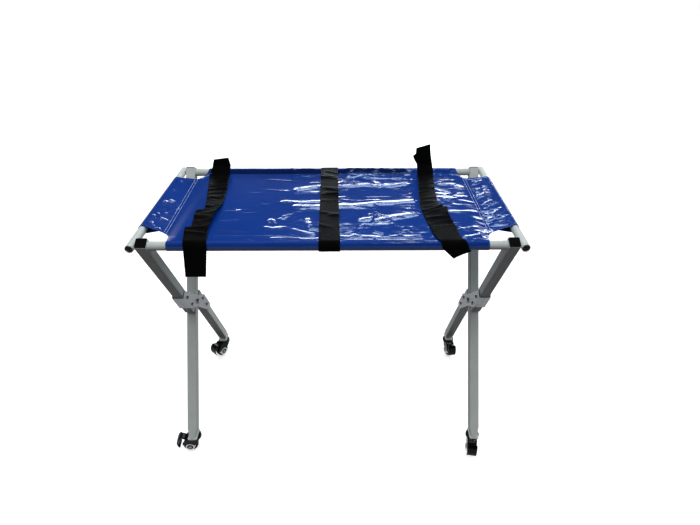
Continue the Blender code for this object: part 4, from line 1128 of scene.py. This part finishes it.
@dataclass
class Straps:
    """The three straps with their routes over the rails."""

    places: Places
    finishes: Finishes
    front_low: float = 0.0141
    front_seam: float = 0.030
    rear_low: float = 0.0023
    rear_seam: float = 0.020
    bend: float = 0.012
    lean: float = math.radians(80)
    tail_slant: float = 0.007
    middle_left: float = -0.0305
    middle_right: float = 0.0235
    middle_drift: float = 0.0133

    # Left and right edge of a loose strap in millimetres: station along it, place along the table.
    LEFT_EDGES = (((-327.5, -368), (-247, -361), (-232, -363), (-203, -369), (-171, -375), (-156, -363), (-143, -364),
                   (-70, -374), (-50, -356), (-44, -354), (0, -361), (99, -379), (203, -400), (240, -396),
                   (264, -388)),
                  ((-327.5, -315), (-247, -302), (-210, -307), (-166, -313), (-87, -312), (-25, -308), (0, -311),
                   (98, -319), (202, -335), (240, -337), (264, -342.5)))
    RIGHT_EDGES = (((-275, 317), (-258, 298), (-247, 286), (-225, 273), (-206, 269), (-162, 264.5), (-99, 259),
                    (-61, 257), (-21, 256), (-3, 258), (116, 269), (217, 279), (240, 279), (258, 268), (268, 264.5),
                    (274, 274), (305, 274.5)),
                   ((-275, 368), (-258, 362), (-247, 352), (-225, 338), (-206, 335), (-162, 334), (-99, 324),
                    (-66, 326), (-45, 312), (-3, 310), (116, 319), (216, 330), (240, 330), (270, 323.5), (305, 319)))

    @staticmethod
    def arc(middle: float, start: float, end: float, steps: int) -> list[Pair]:
        """Points of the webbing on a rail's sleeve.

        Args:
            middle: Place of the rail across the table.
            start: First angle.
            end: Last angle.
            steps: Number of points.

        Returns:
            Points (across the table, over the rails' axes).
        """
        return [(middle + STRAP_TURN * math.cos(a), STRAP_TURN * math.sin(a)) for a in np.linspace(start, end, steps)]

    def loose_route(self, front_tail: float, rear_tail: float) -> list[Pair]:
        """Side route of a loose strap from its front tail to its rear tail.

        Args:
            front_tail: How far the front tail hangs below the rail's axis.
            rear_tail: How far the rear tail stands over the rail's crown.

        Returns:
            Points (across the table, over the rails' axes).
        """
        rail = self.places.rail_y
        front, rear = [math.atan2(low, seam) + math.acos(STRAP_TURN / math.hypot(low, seam))
                       for low, seam in ((self.front_low, self.front_seam), (self.rear_low, self.rear_seam))]
        route = [(-rail - STRAP_TURN - self.tail_slant * s, -front_tail * s) for s in (1.0, 0.66, 0.33)]
        route += self.arc(-rail, math.pi, front, 14)
        route += [(-rail + self.front_seam + (2 * rail - self.front_seam - self.rear_seam) * s,
                   self.front_low + (self.rear_low - self.front_low) * s) for s in np.linspace(0, 1, 40)]
        route += self.arc(rail, math.pi - rear, math.pi / 2, 8)
        crown = STRAP_TURN + self.bend
        turn = [(rail + self.bend * math.sin(a), crown - self.bend * math.cos(a))
                for a in np.linspace(0, self.lean, 8)[1:]]
        rise = (rear_tail + STRAP_TURN - turn[-1][1]) / math.sin(self.lean)
        end = [(turn[-1][0] + rise * s * math.cos(self.lean), turn[-1][1] + rise * s * math.sin(self.lean))
               for s in (0.35, 0.7, 1.0)]
        return route + turn + end

    def build(self) -> list[Piece]:
        """Make the three straps.

        Returns:
            Left, middle and right strap.
        """
        rail, drift = self.places.rail_y, self.middle_drift / 2
        shared = (self.places, self.finishes)
        left = Strap("left_webbing", "left_strap", *shared, self.loose_route(0.080, 0.031),
                     *(np.array(edge) / 1000 for edge in self.LEFT_EDGES), steps=(-0.056, -0.160), seed=3,
                     crease_span=(-0.24, 0.20), curl=(-0.10, 0.07, 0.011), rear_cut=(0.006, 0.0))
        loop = self.arc(rail, -math.pi / 2, math.pi / 2, 24) + self.arc(-rail, math.pi / 2, 1.5 * math.pi, 24)
        middle = Strap("middle_webbing", "middle_strap", *shared, loop[::-1],
                       *(np.array(((-rail, edge + drift), (rail, edge - drift)))
                         for edge in (self.middle_left, self.middle_right)), seed=11, creases=30, closed=True)
        right = Strap("right_webbing", "right_strap", *shared, self.loose_route(0.027, 0.073),
                      *(np.array(edge) / 1000 for edge in self.RIGHT_EDGES), steps=(-0.155,), seed=5,
                      crease_span=(-0.15, 0.22), curl=(-0.08, 0.045, 0.012), front_cut=(0.0, 0.020),
                      rear_cut=(0.013, 0.0))
        return [strap.build() for strap in (left, middle, right)]


def turned(profile: list[Pair], steps: int, places: list[Matrix]) -> tuple[list, list]:
    """Turn a closed profile about the local Z axis of each placement.

    Args:
        profile: Radius and height of each corner, in order round the section.
        steps: Faces round the axis.
        places: Placements of the rings.

    Returns:
        Points and faces of all the rings.
    """
    many = len(profile)
    points, faces = [], []
    for place in places:
        first = len(points)
        for i in range(steps):
            angle = 2 * math.pi * i / steps
            points += [place @ Vector((r * math.cos(angle), r * math.sin(angle), z)) for r, z in profile]
            here, after = first + i * many, first + (i + 1) % steps * many
            faces += [(here + j, after + j, after + (j + 1) % many, here + (j + 1) % many) for j in range(many)]
    return points, faces


def outward(piece: Piece) -> Piece:
    """Turn a closed piece's faces outwards.

    Args:
        piece: Closed mesh.

    Returns:
        The same piece.
    """
    shell = bmesh.new()
    shell.from_mesh(piece.data)
    bmesh.ops.recalc_face_normals(shell, faces=shell.faces)
    shell.to_mesh(piece.data)
    shell.free()
    return piece


@dataclass
class Caster:
    """Finer wheel and pedal details of one braked caster, placed by its joints."""

    corner: Corner
    finishes: Finishes
    tyre_radius: float = 0.025
    tyre_half: float = 0.0105
    tyre_shoulder: float = 0.0205
    tyre_crown: float = 0.0042
    tread_place: float = 0.0036
    tread_half: float = 0.0008
    tread_depth: float = 0.0009
    rim_radius: float = 0.0186
    rim_gap: float = 0.0003
    tyre_gap: float = 0.0002
    bow_turn: float = 1.35
    bead_share: float = 0.93

    # Sections: distance from the axle, height off the wheel's middle.
    HUB = ((0.0033, 0.0104), (0.0062, 0.0104), (0.0072, 0.0098), (0.0092, 0.0076), (0.0118, 0.0066),
           (0.0172, 0.0066), (0.0178, 0.0086), (0.0182, 0.0094), (0.0186, 0.0094))
    HUB_RING = ((0.0122, 0.0067), (0.0127, 0.0084), (0.0136, 0.0091), (0.0154, 0.0091), (0.0163, 0.0084),
                (0.0168, 0.0067))
    COVER_RING = ((0.0108, 0.0154), (0.0112, 0.0162), (0.0120, 0.0165), (0.0134, 0.0165), (0.0142, 0.0162),
                  (0.0146, 0.0154))
    # Outer face of the pedal's tread: along the trail and up from its hinge.
    TREAD = ((0.0245, 0.0115), (0.0318, 0.0050), (0.0358, -0.0105), (0.0342, -0.0240), (0.0312, -0.0290))

    def axis_place(self, joint: str) -> Matrix:
        """Placement at a joint with Z along its axis and X along the caster's trail.

        Args:
            joint: End of the joint's name.

        Returns:
            The placement.
        """
        found = next(j for j in frame["joints"] if j["name"] == f"{self.corner.value}_{joint}")
        axle = Vector(found["axis"]).normalized()
        trail = Vector((axle.y, -axle.x, 0.0))
        turn = Matrix((trail, Vector((0, 0, 1)), axle)).transposed()
        if turn.determinant() < 0:
            turn = Matrix((trail, Vector((0, 0, -1)), axle)).transposed()
        return Matrix.Translation(found["pos_m"]) @ turn.to_4x4()

    def build(self) -> list[Piece]:
        """Make the tyre, the hub, its rings and the pedal's ribs.

        Returns:
            The pieces.
        """
        name = self.corner.value
        place = self.axis_place("wheel_spin")
        sides = [place, place @ Matrix.Diagonal((1, 1, -1, 1))]
        half, top, seat = self.tyre_half, self.tyre_radius, self.rim_radius + self.rim_gap
        bow = [(top - self.tyre_crown * (1 - math.cos(a)) - self.tyre_gap, half * math.sin(a))
               for a in np.linspace(self.bow_turn, -self.bow_turn, 15)]
        bow = [(top - self.tread_depth if abs(abs(z) - self.tread_place) < self.tread_half else r, z) for r, z in bow]
        bead = half * self.bead_share
        tyre_line = [(seat, bead), (self.tyre_shoulder, half), *bow, (self.tyre_shoulder, -half), (seat, -bead)]
        hub_line = [*self.HUB, *((r, -z) for r, z in reversed(self.HUB))]
        look = self.finishes
        tyre, hub, rings, covers = [outward(new_piece(f"{name}_{piece}", *turned(profile, steps, spots), material))
                                    for piece, profile, steps, spots, material in (
                                        ("tyre", tyre_line, 64, [place], look.rubber),
                                        ("hub", hub_line, 48, [place], look.hub),
                                        ("hub_rings", self.HUB_RING, 48, sides, look.ring),
                                        ("cover_rings", self.COVER_RING, 48, sides, look.ring))]
        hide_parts(f"{name}_wheel_tyre")
        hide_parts(f"{name}_wheel_hub")
        for piece, slot, body in ((tyre, "black_rubber", "wheel"), (hub, "dark_hub", "wheel"),
                                  (rings, "dark_hub", "wheel"), (covers, "dark_hub", "swivel")):
            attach(piece, f"{name}_{body}")
        return [tyre, hub, rings, covers, self.ribs()]

    def ribs(self) -> Piece:
        """Grip ribs on the outer face of the pedal's tread.

        Returns:
            The ribs as one piece.
        """
        place = self.axis_place("brake_press")
        up = 1.0 if (place.to_3x3() @ Vector((0, 1, 0))).z > 0 else -1.0
        line = [place @ Vector((x, up * z, 0.0)) for x, z in self.TREAD]
        across = tuple(place.to_3x3() @ Vector((0, 0, 1)))
        rib = Repeat(Unit.RIB, self.finishes.plastic, length=0.0018, width=0.0250, height=0.0014, pitch=0.0052,
                     across=across)
        piece = rib.along(f"{self.corner.value}_pedal_ribs", [line])
        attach(piece, f"{self.corner.value}_brake")
        return piece


@dataclass
class Brackets:
    """Washers under the bolt heads on the inner cross plates."""

    finishes: Finishes
    bolt_washer: float = 0.0135
    thickness: float = 0.0011

    def build(self) -> Piece:
        """Set one washer round each bolt.

        Returns:
            The washers as one piece.
        """
        spots = []
        for side in Side:
            name = side.name.lower()
            low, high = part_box(f"{name}_inner_cross_plate")
            face = low.x if side is Side.RIGHT else high.x
            for bolt in ("upper_near", "upper_far", "lower_near", "lower_far"):
                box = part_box(f"{name}_{bolt}_bolt")
                middle = (box[0] + box[1]) / 2
                spots.append([Vector((face - side.value * self.thickness / 2, middle.y, middle.z))])
        washer = Repeat(Unit.WASHER, self.finishes.zinc, self.bolt_washer, self.bolt_washer, self.thickness,
                        across=(1.0, 0.0, 0.0))
        piece = washer.along("bolt_washers", spots)
        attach(piece, "front_frame")
        return piece


@dataclass
class BarEnds:
    """Black dished discs set a little inside the open ends of the end bars, so that the bores show dark."""

    places: Places
    finishes: Finishes
    wall: float = 0.0016
    depth: float = 0.0025
    length: float = 0.010
    axis_gap: float = 0.0002

    def build(self) -> list[Piece]:
        """Close both ends of each bar.

        Returns:
            One piece for each bar.
        """
        pieces = []
        reach, depth = self.places.bar_radius - self.wall, self.depth
        profile = [(self.axis_gap, depth + 0.0015), (0.45 * reach, depth + 0.0011), (0.8 * reach, depth),
                   (reach, depth - 0.0008), (reach, depth + self.length), (self.axis_gap, depth + self.length)]
        for side in Side:
            name = f"{side.name.lower()}_spreader"
            low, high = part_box(f"{name}_bar")
            middle = (low + high) / 2
            ends = [Matrix.Translation((middle.x, end, middle.z)) @ Matrix.Rotation(-way * math.pi / 2, 4, "X")
                    for end, way in ((low.y, 1), (high.y, -1))]
            piece = outward(new_piece(f"{name}_inserts", *turned(profile, 32, ends), self.finishes.plastic))
            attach(piece, name)
            pieces.append(piece)
        return pieces


@dataclass
class Studio:
    """Floor, world, lamps and the camera at the photograph's view."""

    places: Places
    focal_mm: float = 24.917
    eye: tuple[float, float, float] = (0.0496, -1.2728, 1.4491)
    pitch: float = 0.5863
    turn: float = -0.0053
    sensor_mm: float = 36.0
    aim_height: float = 0.75
    floor_half: float = 12.0

    # Axis of the direction, its start and end, and the strength there.
    RAMPS = (("Z", 0.06, 0.34, 1.0, 0.05), ("Z", 0.48, 0.72, 0.0, 0.45), ("Y", -0.1, 0.35, 0.0, 1.0),
             ("Y", -1.0, 1.0, 0.14, 1.45), ("Z", 0.15, 0.9, 0.03, 1.30))

    def camera(self) -> None:
        """Place the camera."""
        data = bpy.data.cameras.new("view")
        data.sensor_width = self.sensor_mm
        data.lens = self.focal_mm
        camera = bpy.data.objects.new("view", data)
        camera.location = Vector(self.eye) + self.places.centre
        camera.rotation_euler = (math.pi / 2 - self.pitch, 0.0, self.turn)
        bpy.context.scene.collection.objects.link(camera)
        bpy.context.scene.camera = camera

    def lamp(self, name: str, spot: tuple, size: Pair, power: float, mirrored: bool = True,
             lighting: bool = True, tint: str = "FFFFFF") -> None:
        """Add a soft lamp aimed at the table top.

        Args:
            name: Lamp name.
            spot: Place in metres.
            size: Width and depth of the lamp.
            power: Watts.
            mirrored: Whether glossy faces mirror the lamp.
            lighting: Whether the lamp lights dull faces.
            tint: Colour of the light.
        """
        data = bpy.data.lights.new(name, "AREA")
        data.shape = "RECTANGLE"
        data.size, data.size_y = size
        data.energy = power
        data.color = linear(tint)[:3]
        lamp = bpy.data.objects.new(name, data)
        lamp.location = spot
        lamp.visible_glossy = mirrored
        lamp.visible_diffuse = lighting
        aim = Vector((0.0, 0.0, self.aim_height)) - Vector(spot)
        lamp.rotation_euler = aim.to_track_quat("-Z", "Y").to_euler()
        bpy.context.scene.collection.objects.link(lamp)

    @staticmethod
    def by_ray(tree: Tree, dull: Node, mirrored: Node, seen: Node, output: str) -> None:
        """Show one shader to dull faces, one to mirroring or clear faces and one to the eye.

        Args:
            tree: Tree of the world or the floor.
            dull: Shader that lights dull faces.
            mirrored: Shader in glossy and clear faces.
            seen: Shader that the camera sees.
            output: Type of the output node.
        """
        path = add(tree, "ShaderNodeLightPath").outputs
        mirror = add(tree, "ShaderNodeMath", {0: path["Is Glossy Ray"], 1: path["Is Transmission Ray"]},
                     operation="MAXIMUM")
        first = add(tree, "ShaderNodeMixShader", {0: mirror.outputs[0], 1: dull.outputs[0], 2: mirrored.outputs[0]})
        second = add(tree, "ShaderNodeMixShader", {0: path["Is Camera Ray"], 1: first.outputs[0], 2: seen.outputs[0]})
        add(tree, output, {"Surface": second.outputs[0]})

    def world(self) -> None:
        """White backdrop to the eye and in reflections near the horizon, a dimmer dome for light."""
        world = bpy.data.worlds.new("studio")
        bpy.context.scene.world = world
        world.use_nodes = True
        tree = world.node_tree
        tree.nodes.clear()
        way = add(tree, "ShaderNodeTexCoord").outputs["Generated"]
        parts = add(tree, "ShaderNodeSeparateXYZ", {0: way}).outputs
        shine, ceiling, behind, depth, sky = [
            add(tree, "ShaderNodeMapRange", {"Value": parts[axis], "From Min": low, "From Max": high,
                                             "To Min": start, "To Max": end}).outputs[0]
            for axis, low, high, start, end in self.RAMPS]
        shine = add(tree, "ShaderNodeMath", {0: ceiling, 1: behind, 2: shine}, operation="MULTIPLY_ADD").outputs[0]
        level = add(tree, "ShaderNodeMath", {0: depth, 1: sky}, operation="MULTIPLY").outputs[0]
        dome, mirrored, seen = [add(tree, "ShaderNodeBackground", {"Color": colour, "Strength": strength})
                                for colour, strength in ((linear("DFE3E8"), level), (WHITE, shine), (WHITE, 1.0))]
        self.by_ray(tree, dome, mirrored, seen, "ShaderNodeOutputWorld")

    def floor(self) -> Piece:
        """White floor that keeps a soft shadow and throws little light back up.

        Returns:
            The floor.
        """
        material = bpy.data.materials.new("white_floor")
        material.use_nodes = True
        tree = material.node_tree
        tree.nodes.clear()
        mirrored, white = [add(tree, "ShaderNodeEmission", {"Color": WHITE, "Strength": strength})
                           for strength in (0.7, 0.55)]
        dark, paper = [add(tree, "ShaderNodeBsdfDiffuse", {"Color": linear(code)}) for code in ("2C2B29", "F2F2F2")]
        seen = add(tree, "ShaderNodeAddShader", {0: paper.outputs[0], 1: white.outputs[0]})
        self.by_ray(tree, dark, mirrored, seen, "ShaderNodeOutputMaterial")
        size = self.floor_half
        corners = [(-size, -size, 0.0), (size, -size, 0.0), (size, size, 0.0), (-size, size, 0.0)]
        floor = new_piece("floor", corners, [(0, 1, 2, 3)], material, smooth=False)
        return floor

    def build(self) -> None:
        """Set the view, the lamps and the floor."""
        bpy.context.scene.view_settings.view_transform = "Standard"
        self.camera()
        self.world()
        self.floor()
        self.lamp("front_softbox", (-0.7, -1.7, 3.7), (2.4, 1.8), 41.0, mirrored=False)
        self.lamp("rear_window", (0.3, 3.6, 1.26), (3.4, 0.55), 54.0, tint="E4F4FF")
        self.lamp("rear_wall", (0.3, 3.9, 1.32), (5.0, 1.00), 30.0)
        self.lamp("ceiling_tube", (0.5, -0.1, 3.2), (1.6, 0.10), 6.0)
        self.lamp("rear_ceiling", (0.30, 2.4, 2.85), (1.5, 0.48), 24.0, lighting=False, tint="D2ECFF")
        self.lamp("side_window", (3.2, 0.1, 1.50), (1.6, 1.0), 24.0)


def main() -> None:
    """Build every piece of the table and the studio round it."""
    logging.basicConfig(level=logging.INFO, format="%(message)s")
    places = Places()
    finishes = Finishes()
    finishes.dress_frame()
    Studio(places).build()
    sheet = TableSheet(places, finishes)
    made = [sheet.build(), sheet.stitching(), *Straps(places, finishes).build(), Brackets(finishes).build(),
            *BarEnds(places, finishes).build()]
    for corner in Corner:
        made += Caster(corner, finishes).build()
    for piece in made:
        LOG.info("%s: %d faces", piece.name, len(piece.data.polygons))


if __name__ == "__main__":
    main()
